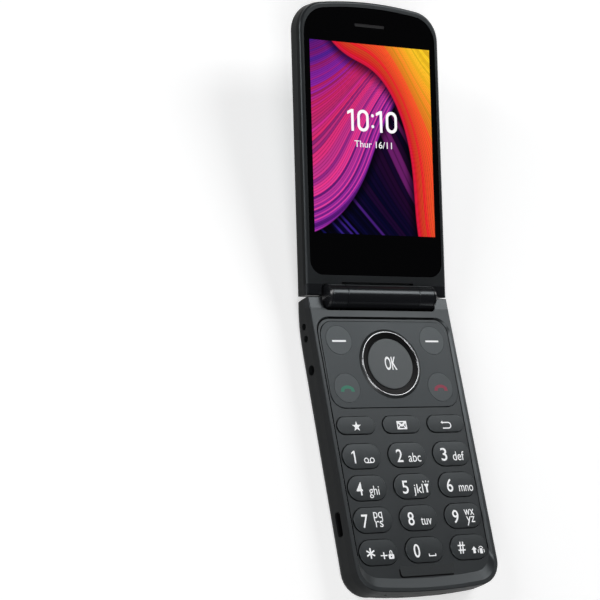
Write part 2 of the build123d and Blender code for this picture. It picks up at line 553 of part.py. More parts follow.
def screen_frame():
    """Inner moulding of the lid: rim round the glass, display window and the two end knuckles."""
    lower = half_outline(HALF_WIDTH, HALF_WIDTH, LENGTH, LID_BOW, LID_CORNER)
    upper = half_outline(HALF_WIDTH, HALF_WIDTH, LENGTH - LID_LEAN, LID_BOW, LID_CORNER)
    frame = loft([Pos(0, 0, LID_PART) * lower, Pos(0, 0, RIM) * upper])
    frame = fillet(frame.faces().sort_by(Axis.Z)[-1].edges(), LID_RIM_ROUND)
    frame -= extrude(Pos(0, 0, GLASS_UNDER) * glass_outline(0.06), RIM - GLASS_UNDER)
    half, near, far, _ = DISPLAY
    frame -= plate(half + 0.15, -far - 0.15, -near + 0.15, LID_PART, GLASS_UNDER, 1.0)
    frame -= stadium(0, -EARPIECE_Y, EARPIECE_LENGTH - 2, EARPIECE_SLOT, LID_PART, GLASS_UNDER)
    frame -= plate(NOTCH_HALF, -LID_NOTCH, LID_NOTCH, LID_PART, RIM, 1.8)
    frame -= block(-KNUCKLE_START, KNUCKLE_START, -LID_NOTCH_MIDDLE, 0, LID_PART, RIM)
    for x, y in LID_SCREWS:
        frame -= disc(x, -y, LID_PART, GLASS_UNDER, SCREW_R)
        frame -= disc(x, -y, GLASS_UNDER - 0.6, RIM, SCREW_HEAD_R + 0.1)
    frame += end_knuckle(-CAP_START, -KNUCKLE_START) + end_knuckle(KNUCKLE_START, CAP_START)
    frame -= block(-CAP_START + 0.3, -KNUCKLE_START, -SHAFT_SQUARE / 2, SHAFT_SQUARE / 2,
                   -SHAFT_SQUARE / 2, SHAFT_SQUARE / 2)
    frame -= bar(KNUCKLE_START, CAP_START, 0, 0, SLEEVE_R)
    return unfolded(frame)


def end_knuckle(x0, x1):
    """Lid knuckle that rises out of the screen frame."""
    knuckle = chamfer(bar(x0, x1, 0, 0, BARREL_R).edges().filter_by(GeomType.CIRCLE), 0.12)
    return knuckle + block(x0, x1, -LID_NOTCH - 1.6, -1.5, LID_PART - 1.2, RIM)


def outer_cover():
    """Outer moulding of the lid: soft outer edge, recess for the outer glass and round key hole."""
    plan = half_outline(HALF_WIDTH, HALF_WIDTH, LENGTH, LID_BOW, LID_CORNER)
    cover = extrude(Pos(0, 0, LID_BACK) * plan, LID_PART - LID_BACK)
    cover = fillet(cover.faces().sort_by(Axis.Z)[0].edges().sort_by(Axis.Y)[:-1], LID_ROUND)
    inner_z = LID_BACK + 1.3
    cavity = plate(INNER, LID_BOW + WALL - LENGTH, -6.2, inner_z, LID_PART, LID_CORNER - WALL)
    cover -= fillet(cavity.faces().sort_by(Axis.Z)[0].edges(), 1.0)
    half, near, far, corner = OUTER_GLASS
    cover -= plate(half + 0.05, -far - 0.05, -near + 0.05, LID_BACK, LID_BACK + 0.8, corner)
    half, near, far, _ = OUTER_DISPLAY
    cover -= plate(half + 0.2, -far - 0.2, -near + 0.2, LID_BACK, inner_z, 1.0)
    cover -= disc(0, -CALL_KEY_Y, LID_BACK, inner_z, CALL_KEY_R + SEAM)
    cover -= bar(-NOTCH_HALF, NOTCH_HALF, 0, 0, BARREL_R + BARREL_CLEAR)
    for side in (-1, 1):
        ends = sorted((side * (KNUCKLE_START - 0.05), side * (CAP_START + 0.05)))
        cover -= block(*ends, -LID_NOTCH - 1.65, 0, LID_PART - 1.25, LID_PART)
    for x, y in LID_SCREWS:
        cover += disc(x, -y, inner_z - 0.3, LID_PART, 1.5)
        cover -= disc(x, -y, inner_z + 0.4, LID_PART, SCREW_R)
    return unfolded(cover)


def main_glass():
    """Inner glass with the earpiece slot, soft along its upper edge."""
    glass = extrude(Pos(0, 0, GLASS_UNDER) * glass_outline(0.0), GLASS_THICK)
    glass = chamfer(glass.faces().sort_by(Axis.Z)[-1].edges(), 0.15)
    return unfolded(glass - stadium(0, -EARPIECE_Y, EARPIECE_LENGTH, EARPIECE_SLOT, GLASS_UNDER, GLASS_TOP))


def main_display():
    half, near, far, thick = DISPLAY
    return plate(half, near, far, GLASS_UNDER - thick, GLASS_UNDER, 0.8)


def chassis_plate():
    """Light stiffening plate behind the display."""
    half, near, far, thick = DISPLAY
    top = GLASS_UNDER - thick - 0.05
    return plate(half, near - 1.5, far - 1.0, top - 0.3, top, 1.0)


def lid_board():
    top = GLASS_UNDER - DISPLAY[3] - 0.55
    return plate(20.5, 7.0, 31.5, top - 0.7, top, 1.0)


def outer_glass():
    """Outer glass, set into its recess flush with the cover, with soft edges."""
    half, near, far, corner = OUTER_GLASS
    glass = plate(half, near, far, LID_BACK, LID_BACK + 0.75, corner)
    return chamfer(glass.faces().sort_by(Axis.Z)[0].edges(), 0.12)


def outer_display():
    half, near, far, thick = OUTER_DISPLAY
    return plate(half, near, far, LID_BACK + 0.8, LID_BACK + 0.8 + thick, 0.8)


def call_key():
    """Round outer key, a little proud of the cover, with a flange inside."""
    key = disc(0, CALL_KEY_Y, LID_BACK - CALL_KEY_PROUD, LID_BACK + 1.35, CALL_KEY_R)
    key = fillet(key.edges().sort_by(Axis.Z)[0], 0.3)
    return key + disc(0, CALL_KEY_Y, LID_BACK + 1.35, LID_BACK + 1.7, CALL_KEY_R + 0.7)


def earpiece():
    return plate(7.5, EARPIECE_Y - 2.7, EARPIECE_Y + 2.7, LID_PART - 2.4, LID_PART - 0.02, 1.0)


def closing_magnet():
    return disc(14.5, 91.5, LID_PART - 2.0, LID_PART - 0.02, 2.2)


def lid_screws():
    """Four screws under the edge of the glass."""
    head = GLASS_UNDER - 0.05
    screws = []
    for x, y in LID_SCREWS:
        shank = disc(x, y, LID_BACK + 2.0, head, SCREW_R)
        screws.append(shank + disc(x, y, head - 0.5, head, SCREW_HEAD_R))
    return Compound(children=screws)


def hinge_shaft():
    """Square-headed shaft, held in the left lid knuckle and turning in the cartridge."""
    square = SHAFT_SQUARE / 2
    head = block(0.35 - CAP_START, 0.05 - KNUCKLE_START, -square, square, -square, square)
    return head + bar(0.05 - KNUCKLE_START, SHAFT_END, 0, 0, SHAFT_R)


def cable_sleeve():
    """Hollow pivot on the right, which the display cable passes through."""
    sleeve = bar(SLEEVE_START, CAP_START, 0, 0, SLEEVE_R)
    return sleeve - bar(SLEEVE_START, CAP_START, 0, 0, SLEEVE_BORE_R)


def hinge_caps():
    """Flat caps on the two ends of the barrel, chamfered, each with a shadow gap to its knuckle."""
    caps = []
    step = CAP_START + CAP_GROOVE
    for side in (-1, 1):
        cap = bar(*sorted((side * step, side * BARREL_HALF)), 0, 0, BARREL_R)
        end = cap.edges().filter_by(GeomType.CIRCLE).sort_by(Axis.X)[-1 if side > 0 else 0]
        neck = bar(*sorted((side * CAP_START, side * step)), 0, 0, BARREL_R - CAP_GROOVE_DEPTH)
        caps.append(chamfer(end, CAP_CHAMFER) + neck)
    return Compound(children=caps)


# ---- export ------------------------------------------------------------------------------------
def base_pieces():
    """Every piece that stays with the base, and the keys that travel in it."""
    makers = [key_frame, rear_housing, battery_cover, battery, main_board, dome_sheet, headphone_jack,
              charging_socket, loudspeaker, speaker_grille, vibration_motor, microphone, camera_module,
              camera_window, torch_lens, charging_contacts, base_screws, hinge_cartridge, nav_panel,
              thumb_pad, board_shield, volume_key, nav_ring, nav_chrome_ring, nav_ok]
    pieces = {maker.__name__: maker() for maker in makers}
    for name, x, y, height in key_spots():
        pieces[name] = field_key(x, y, height)
    for name, x, y in corner_spots():
        pieces[name] = corner_key(x, y)
    return pieces


def lid_pieces():
    """Every piece that turns with the lid, and the key that travels in it."""
    makers = [screen_frame, outer_cover, main_glass, main_display, chassis_plate, lid_board, outer_glass,
              outer_display, call_key, earpiece, closing_magnet, lid_screws, hinge_shaft, cable_sleeve,
              hinge_caps]
    return {maker.__name__: maker() for maker in makers}


os.makedirs("parts", exist_ok=True)
for place, pieces in ((BASE_PLACE, base_pieces()), (LID_PLACE, lid_pieces())):
    for name, piece in pieces.items():
        export_step(place * piece, f"parts/{name}.step")
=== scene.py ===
import json
import math

import bmesh
import bpy
import numpy as np
from mathutils import Matrix, Vector
from mathutils.geometry import tessellate_polygon


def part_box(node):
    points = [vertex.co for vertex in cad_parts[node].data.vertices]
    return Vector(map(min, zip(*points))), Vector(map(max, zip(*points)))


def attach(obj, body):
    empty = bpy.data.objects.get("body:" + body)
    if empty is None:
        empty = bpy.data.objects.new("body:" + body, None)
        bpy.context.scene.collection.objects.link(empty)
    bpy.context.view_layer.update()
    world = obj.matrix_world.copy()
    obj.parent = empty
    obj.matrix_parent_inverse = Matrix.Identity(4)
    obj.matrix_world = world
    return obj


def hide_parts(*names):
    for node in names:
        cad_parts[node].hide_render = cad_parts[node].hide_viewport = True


# The looks of a clamshell phone: finishes of its mouldings, printed legends, lit screens and bright trim.
# Lengths below are millimetres about the hinge axis: X across the phone, Y along it (the keys towards -Y,
# the screen towards +Y as if the lid lay flat), Z out of the front. on_base and on_lid turn them into metres.
# Colours are in linear light.

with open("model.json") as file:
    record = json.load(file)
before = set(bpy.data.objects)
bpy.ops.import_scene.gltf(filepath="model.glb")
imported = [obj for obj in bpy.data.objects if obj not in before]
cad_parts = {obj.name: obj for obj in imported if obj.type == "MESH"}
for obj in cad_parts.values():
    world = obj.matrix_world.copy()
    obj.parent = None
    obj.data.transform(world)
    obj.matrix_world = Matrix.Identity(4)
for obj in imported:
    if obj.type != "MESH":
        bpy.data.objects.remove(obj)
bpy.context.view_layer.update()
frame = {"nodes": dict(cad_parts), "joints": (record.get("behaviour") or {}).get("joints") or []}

MM = 0.001
HINGE = np.array(next(j["pos_m"] for j in frame["joints"] if j["name"] == "lid_hinge"))
LID_RISE = math.radians(14.9)

# ---- camera, in metres -------------------------------------------------------------------------
CAMERA_PLACE = Vector((-0.38465, -0.13785, 0.54548))
CAMERA_TARGET = Vector((-0.03155, 0.05438, 0.0112))
CAMERA_ROLL = math.radians(56.72)
CAMERA_LENS, CAMERA_SENSOR = 122.25, 36.0    # focal length and film width, in millimetres

# ---- front of the base -------------------------------------------------------------------------
TRAY_FLOOR = -0.85
POCKET_DEEP, POCKET_TOP = -1.02, -0.94       # the tray's groove and key openings are painted black below these, as shade
POCKET_HALF, POCKET_FOOT, POCKET_CORNER = 26.8, -98.8, 121.2
KEY_CROWN_R = 80.0
BARREL_R = 4.05
NAV_Y = -23.5
CHROME_INNER_R, CHROME_OUTER_R = 10.91, 11.36
CHROME_LAP, CHROME_HEIGHT = 0.18, 0.2
PAD_LEFT, PAD_FOOT, PAD_CORNER = -10.65, -95.1, 0.8
# width, end and rise of the black strip painted as the thumb pad's shadow
PAD_SHADOW_WIDTH, PAD_SHADOW_END, PAD_SHADOW_RISE = 0.45, 10.2, 2.5
INK_THICK = 0.03
INK_SUNK = INK_THICK / 3                     # foot of a legend under its key's face

# ---- screens -----------------------------------------------------------------------------------
SCREEN_HALF, SCREEN_NEAR, SCREEN_FAR = 24.45, 21.0, 86.0
GLASS_TOP = -0.5
PICTURE_PROUD, CLOCK_PROUD = 0.012, 0.015    # over the glass, the clock over the picture
SLOT_Y, SLOT_LENGTH, SLOT_WIDTH = 92.4, 12.4, 1.2
MESH_SUNK, MESH_PITCH, MESH_WAVE, MESH_EDGE = 0.22, 0.4, 0.05, 0.05
OUTER_FACE = -7.6
CALL_KEY_Y, CALL_KEY_PROUD = 13.6, 0.15
DATE = "Thur 16/11"


# ---- places ------------------------------------------------------------------------------------
def on_base(points):
    """Millimetres about the hinge to metres in the shared frame, for what the base carries."""
    return np.asarray(points, float) * MM + HINGE


def on_lid(points):
    """The same for the lid, which stands turned up by its rise about the hinge axis."""
    x, y, z = np.asarray(points, float).T
    cosine, sine = math.cos(LID_RISE), math.sin(LID_RISE)
    return np.stack([x, y * cosine - z * sine, y * sine + z * cosine], 1) * MM + HINGE


def centre_of(node):
    """Middle of a base node in plan and its highest level, in millimetres about the hinge."""
    low, high = (np.array(corner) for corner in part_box(node))
    middle = ((low + high) / 2 - HINGE) / MM
    return middle[0], middle[1], (high[2] - HINGE[2]) / MM


# ---- meshes ------------------------------------------------------------------------------------
def add_piece(name, points, faces, body, material, smooth=False):
    """One mesh in the shared frame, with its finish, that rides on a body."""
    mesh = bpy.data.meshes.new(name)
    mesh.from_pydata(points.tolist(), [], faces)
    mesh.materials.append(material)
    if smooth:
        mesh.shade_smooth()
    mesh.validate()
    piece = bpy.data.objects.new(name, mesh)
    bpy.context.scene.collection.objects.link(piece)
    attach(piece, body)
    return piece


def grid_faces(rows, columns, wrap_rows=False, wrap_columns=False):
    """Quads of a grid whose point (i, j) is number i * columns + j; either way may close on itself."""
    i = np.arange(rows if wrap_rows else rows - 1)
    j = np.arange(columns if wrap_columns else columns - 1)
    i, j = (grid.ravel() for grid in np.meshgrid(i, j, indexing="ij"))
    i_next, j_next = (i + 1) % rows, (j + 1) % columns
    corners = [(i, j), (i_next, j), (i_next, j_next), (i, j_next)]
    return np.stack([row * columns + column for row, column in corners], 1)


def ring_surface(profile, x, y, steps=160):
    """Closed ring: a closed profile of (radius, height) carried round an upright axis at x, y."""
    radius, height = np.asarray(profile, float).T
    angle = np.linspace(0, 2 * math.pi, steps, endpoint=False)[:, None]
    points = np.stack([x + radius * np.cos(angle), y + radius * np.sin(angle), height + 0 * angle], -1)
    return points.reshape(-1, 3), grid_faces(steps, len(radius), True, True)[:, ::-1].tolist()


def slab(loops, thick=INK_THICK):
    """Flat plate from one outer loop of (x, y) and any holes: points at heights 0 and thick, and faces.

    Its two faces are the loops' triangles, turned so that the upper ones look up, and a wall of quads runs
    round each loop, the outer one to the left and the holes to the right.
    """
    loops = [np.asarray(loop, float) for loop in loops]
    flat = np.concatenate(loops)
    count = len(flat)
    points = np.concatenate([np.c_[flat, np.zeros(count)], np.c_[flat, np.full(count, thick)]])
    upper = np.array(tessellate_polygon([[Vector((x, y, 0)) for x, y in loop] for loop in loops]))
    a, b, c = (flat[upper[:, corner]].T for corner in range(3))
    looks_down = (b[0] - a[0]) * (c[1] - a[1]) - (b[1] - a[1]) * (c[0] - a[0]) < 0
    upper[looks_down] = upper[looks_down][:, [0, 2, 1]]
    faces = (upper + count).tolist() + upper[:, [0, 2, 1]].tolist()
    start = 0
    for number, loop in enumerate(loops):
        x, y = loop.T
        turns_left = np.sum(x * np.roll(y, -1) - np.roll(x, -1) * y) > 0
        order = np.arange(len(loop)) + start
        if turns_left != (number == 0):
            order = order[::-1]
        following = np.roll(order, -1)
        faces += np.stack([order, following, following + count, order + count], 1).tolist()
        start += len(loop)
    return points, faces


def joined(parts):
    """Several (points, faces) as one."""
    points, faces, start = [], [], 0
    for part_points, part_faces in parts:
        points.append(part_points)
        faces += [[index + start for index in face] for face in part_faces]
        start += len(part_points)
    return np.concatenate(points), faces


def arc(x, y, radius, start, end, steps=24):
    """Points on an arc, angles in degrees."""
    angle = np.radians(np.linspace(start, end, steps))
    return np.stack([x + radius * np.cos(angle), y + radius * np.sin(angle)], 1)


def circle(x, y, radius, steps=40):
    """Points round a full circle, the first not repeated."""
    return arc(x, y, radius, 0, 360, steps + 1)[:-1]


def stroke(points, width):
    """Loop round an open line at half the width to each side, with mitred corners."""
    points = np.asarray(points, float)
    along = np.diff(points, axis=0)
    along /= np.linalg.norm(along, axis=1)[:, None]
    side = np.stack([-along[:, 1], along[:, 0]], 1)
    before, after = np.vstack([side[:1], side]), np.vstack([side, side[-1:]])
    mitre = before + after
    mitre *= (width / np.sum(mitre * mitre, 1))[:, None]
    return np.vstack([points + mitre, (points - mitre)[::-1]])


def rectangle(x0, x1, y0, y1):
    """Four corners, turning left."""
    return np.array([(x0, y0), (x1, y0), (x1, y1), (x0, y1)], float)


def rounded_rectangle(x0, x1, y0, y1, radius):
    """A rectangle with a quarter circle at each corner, turning left."""
    corners = [(x1 - radius, y0 + radius, -90), (x1 - radius, y1 - radius, 0),
               (x0 + radius, y1 - radius, 90), (x0 + radius, y0 + radius, 180)]
    return np.vstack([arc(x, y, radius, start, start + 90, 7) for x, y, start in corners])


# ---- lettering ---------------------------------------------------------------------------------
CAP_HEIGHT, SMALL_HEIGHT = 0.682, 0.449    # of capitals and small letters in the lettering's own units


def lettering(words, weight):
    """Words as a slab between heights 0 and 1 in the lettering's own units: points and faces."""
    curve = bpy.data.curves.new("lettering", "FONT")
    curve.body = words
    curve.extrude = 0.5
    curve.offset = weight
    curve.resolution_u = 5
    holder = bpy.data.objects.new("lettering", curve)
    bpy.context.scene.collection.objects.link(holder)
    bpy.context.view_layer.update()
    mesh = bpy.data.meshes.new_from_object(holder.evaluated_get(bpy.context.evaluated_depsgraph_get()))
    points = np.empty(len(mesh.vertices) * 3, np.float32)
    mesh.vertices.foreach_get("co", points)
    points = points.reshape(-1, 3).astype(float) + (0, 0, curve.extrude)
    faces = [list(face.vertices) for face in mesh.polygons]
    bpy.data.objects.remove(holder)
    bpy.data.meshes.remove(mesh)
    bpy.data.curves.remove(curve)
    return points, faces


def word(words, x0, x1, base, height, weight=0.0, unit=CAP_HEIGHT):
    """Words that fill x0 to x1, standing on a base line, with letters of one height above it."""
    points, faces = lettering(words, weight)
    low, high = points[:, 0].min(), points[:, 0].max()
    points[:, 0] = x0 + (points[:, 0] - low) * (x1 - x0) / (high - low)
    points[:, 1] = base + points[:, 1] * height / unit
    points[:, 2] *= INK_THICK
    return points, faces


def cut_in_rows(points, faces, pitch=0.5):
    """The same plate cut across every pitch of y, so that it can bend over a crown."""
    mesh = bmesh.new()
    made = [mesh.verts.new(point) for point in points]
    for face in faces:
        mesh.faces.new([made[index] for index in face])
    low, high = points[:, 1].min(), points[:, 1].max()
    for y in np.arange(low + pitch / 2, high, pitch):
        everything = mesh.verts[:] + mesh.edges[:] + mesh.faces[:]
        bmesh.ops.bisect_plane(mesh, geom=everything, plane_co=(0, y, 0), plane_no=(0, 1, 0))
    mesh.verts.index_update()
    points = np.array([vertex.co for vertex in mesh.verts])
    faces = [[vertex.index for vertex in face.verts] for face in mesh.faces]
    mesh.free()
    return points, faces


# ---- finishes ----------------------------------------------------------------------------------
NOISE_MIDDLE = (0.3, 0.7)                    # most of a noise lies between these
TONE_DRIFT, GLOSS_DRIFT, DRIFT_SCALE = 0.07, 0.06, 60.0
GRAIN_DEPTH = 0.00002                        # metres
EDGE_SOFT, LEVEL_SOFT = 0.04, 0.2            # blur where two finishes of one piece meet
INWARD = -2.0                                # x times the direction along X of a face that looks inward
COOL = {"Specular_Tint": (0.88, 0.96, 1.0, 1.0)}
BARREL_COLOUR, BARREL_ROUGHNESS = (0.009, 0.0095, 0.0110), 0.23
# colour of the painted shade in the tray's groove and key openings
POCKET_SHADE_COLOUR = (0.001, 0.001, 0.001)
SHELL = {"colour": (0.062, 0.067, 0.071), "roughness": 0.5, "grain": 0.3, "grain_scale": 5000.0,
         "Specular_IOR_Level": 0.3}
# the shell's upright faces: duller, and darker as painted shade
SHELL_SIDES_DULL_AND_SHADED = {"colour": (0.008, 0.009, 0.0095), "specular": 0.10, "steep": (0.35, 0.92)}
HOUSING_BACK = -10.2
# the ring's slope down to the centre key is painted black as shade
RING_COLOUR, RING_SLOPE_SHADE = (0.022, 0.025, 0.0265), (0.003, 0.003, 0.0035)
RING_SPECULAR, RING_SLOPE_SHADE_SPECULAR = 0.5, 0.12


def fill(tree, node, inputs):
    """Gives a node's sockets numbers, colours or other nodes' outputs."""
    for socket, value in inputs.items():
        if isinstance(value, bpy.types.NodeSocket):
            tree.links.new(value, node.inputs[socket])
        else:
            node.inputs[socket].default_value = value


def add_node(tree, kind, inputs, **settings):
    """A shader node with its settings and inputs; returns its outputs."""
    node = tree.nodes.new(f"ShaderNode{kind}")
    for setting, value in settings.items():
        setattr(node, setting, value)
    fill(tree, node, inputs)
    return node.outputs


def maths(tree, operation, *values):
    """The result of an operation on one or two numbers or outputs."""
    return add_node(tree, "Math", dict(enumerate(values)), operation=operation)[0]


def mapped(tree, value, low, high, start=0.0, end=1.0):
    """Maps low to high onto start to end, and stays level beyond them; low may be the greater."""
    return add_node(tree, "MapRange", {"Value": value, "From Min": low, "From Max": high,
                                       "To Min": start, "To Max": end})["Result"]


def coordinate(tree, source, axis):
    """One part of the surface's place (Object) or direction (Normal)."""
    return add_node(tree, "SeparateXYZ", {0: add_node(tree, "TexCoord", {})[source]})[axis]


def noise(tree, scale, detail):
    """Noise over the surface's place; scale is in features per metre."""
    return add_node(tree, "TexNoise", {"Vector": add_node(tree, "TexCoord", {})["Object"], "Scale": scale,
                                       "Detail": detail})["Fac"]


def spread(tree, value, low, high):
    """Maps a noise onto low to high."""
    return mapped(tree, value, *NOISE_MIDDLE, low, high)


def beyond_radius(tree, centre, across, radius):
    """0 within a radius of an axis and 1 outside it; centre in metres, radius in millimetres.

    across is 1 for each coordinate that the distance is measured in and 0 for the one along the axis.
    """
    offset = add_node(tree, "Mapping", {"Vector": add_node(tree, "TexCoord", {})["Object"], "Scale": across,
                                        "Location": [-part * use for part, use in zip(centre, across)]})
    distance = add_node(tree, "VectorMath", {0: offset["Vector"]}, operation="LENGTH")["Value"]
    return mapped(tree, distance, (radius - EDGE_SOFT) * MM, (radius + EDGE_SOFT) * MM)


def two_tones(tree, factor, low, high):
    """Colour that goes from low to high with the factor."""
    colours = {"Factor": factor, "A": (*low, 1), "B": (*high, 1)}
    return add_node(tree, "Mix", colours, data_type="RGBA")["Result"]


def kept_where(material, factor, others):
    """Keeps the shader's sockets as they are where the factor is 1; where it is 0 they get other values."""
    tree = material.node_tree
    shader = tree.nodes["Principled BSDF"]
    for name, value in others.items():
        socket = shader.inputs[name]
        kept = socket.links[0].from_socket if socket.links else socket.default_value
        kind = "RGBA" if socket.type == "RGBA" else "FLOAT"
        mixed = add_node(tree, "Mix", {"Factor": factor, "A": value, "B": kept}, data_type=kind)
        tree.links.new(mixed["Result"], socket)
    return material


def new_material(name, colour, roughness, **sockets):
    """Principled finish; returns the material, its node tree and its shader."""
    material = bpy.data.materials.new(name)
    material.use_nodes = True
    tree = material.node_tree
    shader = tree.nodes["Principled BSDF"]
    fill(tree, shader, {"Base Color": (*colour, 1), "Roughness": roughness})
    fill(tree, shader, {socket.replace("_", " "): value for socket, value in sockets.items()})
    return material, tree, shader


def moulded(name, colour, roughness, grain=0.15, grain_scale=9000.0, **sockets):
    """Moulded plastic: a fine spark-eroded grain, with slow drift of tone and gloss."""
    material, tree, shader = new_material(name, colour, roughness, **sockets)
    drift = noise(tree, DRIFT_SCALE, 4.0)
    darker, lighter = ([share * part for part in colour] for share in (1 - TONE_DRIFT, 1 + TONE_DRIFT))
    bump = add_node(tree, "Bump", {"Height": noise(tree, grain_scale, 2.0), "Strength": grain,
                                   "Distance": GRAIN_DEPTH})
    fill(tree, shader, {
        "Base Color": two_tones(tree, spread(tree, drift, 0.0, 1.0), darker, lighter),
        "Roughness": spread(tree, drift, roughness * (1 - GLOSS_DRIFT), roughness * (1 + GLOSS_DRIFT)),
        "Normal": bump["Normal"]})
    return material


def with_dull_sides_and_painted_shade(material, colour=(0.006, 0.0065, 0.007), roughness=0.5, specular=0.12,
                     steep=(0.25, 0.42), keep_inward=False, back=None):
    """The same moulding with its upright faces duller, and painted darker as shade, than those that face out
    of the front.

    steep gives the share of a face's direction along Z between which it changes. With keep_inward, faces
    that look towards the phone's middle, such as the tray's side walls, keep the front's finish too. Where
    a level for the back is given, only what lies behind it keeps that finish.
    """
    tree = material.node_tree
    kept = mapped(tree, maths(tree, "ABSOLUTE", coordinate(tree, "Normal", "Z")), *steep)
    if keep_inward:
        outward = maths(tree, "MULTIPLY", coordinate(tree, "Object", "X"), coordinate(tree, "Normal", "X"))
        kept = maths(tree, "MAXIMUM", kept, mapped(tree, outward, 0.0, INWARD * MM))
    if back is not None:
        behind = mapped(tree, coordinate(tree, "Object", "Z"), HINGE[2] + (back + LEVEL_SOFT) * MM,
                        HINGE[2] + back * MM)
        kept = maths(tree, "MULTIPLY", kept, behind)
    # Upright faces get the duller finish and a darker colour that is painted shade.
    return kept_where(material, kept, {"Base Color": (*colour, 1), "Roughness": roughness,
                                       "Specular IOR Level": specular})


def with_painted_pocket_shade(material):
    """The same moulding, painted black below the key tray's floor as shade, where its groove and key openings
    go down.

    The pockets end where the rim starts: at a half width, at the foot, and where |x| - y passes a corner.
    """
    tree = material.node_tree
    across = maths(tree, "ABSOLUTE", coordinate(tree, "Object", "X"))
    along = coordinate(tree, "Object", "Y")
    outside = mapped(tree, coordinate(tree, "Object", "Z"), HINGE[2] + POCKET_DEEP * MM,
                     HINGE[2] + POCKET_TOP * MM)
    past_corner = maths(tree, "SUBTRACT", across, along)
    for value, edge, soft in ((across, POCKET_HALF * MM, LEVEL_SOFT * MM),
                              (along, HINGE[1] + POCKET_FOOT * MM, -LEVEL_SOFT * MM),
                              (past_corner, POCKET_CORNER * MM - HINGE[1], LEVEL_SOFT * MM)):
        outside = maths(tree, "MAXIMUM", outside, mapped(tree, value, edge, edge + soft))
    # Painted shade: black and without gloss in the groove and key openings.
    return kept_where(material, outside, {"Base Color": (*POCKET_SHADE_COLOUR, 1), "Specular IOR Level": 0.0})


def with_barrel(material):
    """The same moulding with the hinge barrel's smoother, deeper finish within its radius of the axis."""
    outside = beyond_radius(material.node_tree, HINGE, (0, 1, 1), BARREL_R)
    return kept_where(material, outside, {"Base Color": (*BARREL_COLOUR, 1), "Roughness": BARREL_ROUGHNESS})


def ink(name, colour, painted_glow=0.05):
    """Printed legend that glows a little: painted light that lifts the print."""
    material, tree, shader = new_material(name, colour, 0.5)
    fill(tree, shader, {"Emission Color": (*colour, 1), "Emission Strength": painted_glow})
    return material


def mouldings():
    """The plastics that are seen from outside, by their name."""
    front = moulded("front_plastic", (0.0210, 0.0230, 0.0245), 0.35, **COOL)
    # Its upright outer faces are painted darker as shade; the tray's walls keep the front's finish.
    front = with_dull_sides_and_painted_shade(front, (0.007, 0.0075, 0.008), steep=(0.5, 0.9), keep_inward=True)
    # The lid's frame is a darker copy of the front's moulding, painted shade, and its upright faces are
    # painted darker still.
    lid_frame = moulded("lid_frame_plastic", (0.0120, 0.0132, 0.0145), 0.34, **COOL)
    lid_frame = with_dull_sides_and_painted_shade(lid_frame, (0.003, 0.0033, 0.0036), specular=0.06)
    # The thumb pad is painted darker than the tray so that its tilted top doesn't read lighter, and its
    # upright edges are painted black as its shadow.
    pad = moulded("pad_plastic", (0.010, 0.011, 0.0115), 0.38, Specular_IOR_Level=0.28, **COOL)
    # The upright faces of the frame, panel, keys, pad and shell are painted darker as shade through their
    # sides' finish.
    return {
        "front_plastic": with_barrel(with_painted_pocket_shade(front)),
        "lid_frame_plastic": with_barrel(lid_frame),
        "barrel_plastic": moulded("barrel_plastic", BARREL_COLOUR, BARREL_ROUGHNESS),
        "panel_plastic": with_dull_sides_and_painted_shade(moulded("panel_plastic", (0.0225, 0.0260, 0.0285), 0.38, **COOL)),
        "ring_plastic": ring_plastic(),
        "ok_plastic": with_dull_sides_and_painted_shade(moulded("ok_plastic", (0.056, 0.060, 0.062), 0.36, **COOL)),
        "round_key_plastic": moulded("round_key_plastic", (0.045, 0.051, 0.054), 0.36, **COOL),
        "key_plastic": with_dull_sides_and_painted_shade(moulded("key_plastic", (0.0215, 0.0240, 0.0255), 0.36, **COOL)),
        "pad_plastic": with_dull_sides_and_painted_shade(pad, (0.001, 0.001, 0.001), 0.6, 0.03),
        "shell_plastic": with_dull_sides_and_painted_shade(moulded("shell_plastic", **SHELL), **SHELL_SIDES_DULL_AND_SHADED),
        "housing_plastic": with_dull_sides_and_painted_shade(moulded("housing_plastic", **SHELL), back=HOUSING_BACK,
                                            **SHELL_SIDES_DULL_AND_SHADED),
        "black_plastic": moulded("black_plastic", (0.003, 0.003, 0.0035), 0.6, Specular_IOR_Level=0.1),
        "jack_plastic": moulded("jack_plastic", (0.003, 0.003, 0.0035), 0.5, Specular_IOR_Level=0.2),
    }


def finishes():
    """All finishes of the phone by their name."""
    return mouldings() | {
        "black_glass": black_glass(),
        "chrome": bright_trim(),
        "spun_metal": spun_metal(),
        "mesh_metal": moulded("mesh_metal", (0.006, 0.006, 0.007), 0.5, Specular_IOR_Level=0.3),
        "steel": moulded("steel", (0.45, 0.45, 0.46), 0.32, Metallic=1.0),
        "gold_plate": moulded("gold_plate", (0.80, 0.60, 0.28), 0.28, Metallic=1.0),
        "light_metal": moulded("light_metal", (0.55, 0.55, 0.56), 0.35, Metallic=1.0),
        "board": moulded("board", (0.02, 0.13, 0.06), 0.45),
        "film": moulded("film", (0.55, 0.55, 0.5), 0.3),
        "cell_wrap": moulded("cell_wrap", (0.03, 0.03, 0.035), 0.35),
        "module_gloss": moulded("module_gloss", (0.012, 0.012, 0.016), 0.2),
        "white_ink": ink("white_ink", (0.86, 0.87, 0.88), 0.25),
        "silver_ink": ink("silver_ink", (0.50, 0.51, 0.52)),
        "green_ink": ink("green_ink", (0.025, 0.19, 0.12)),
        "red_ink": ink("red_ink", (0.28, 0.025, 0.06)),
    }


def black_glass():
    """Black-backed cover glass: deep gloss with a faint long wave in its reflections."""
    material, tree, shader = new_material("black_glass", (0.0008, 0.0008, 0.001), 0.04)
    fill(tree, shader, {"Roughness": spread(tree, noise(tree, 25.0, 1.0), 0.03, 0.06)})
    return material


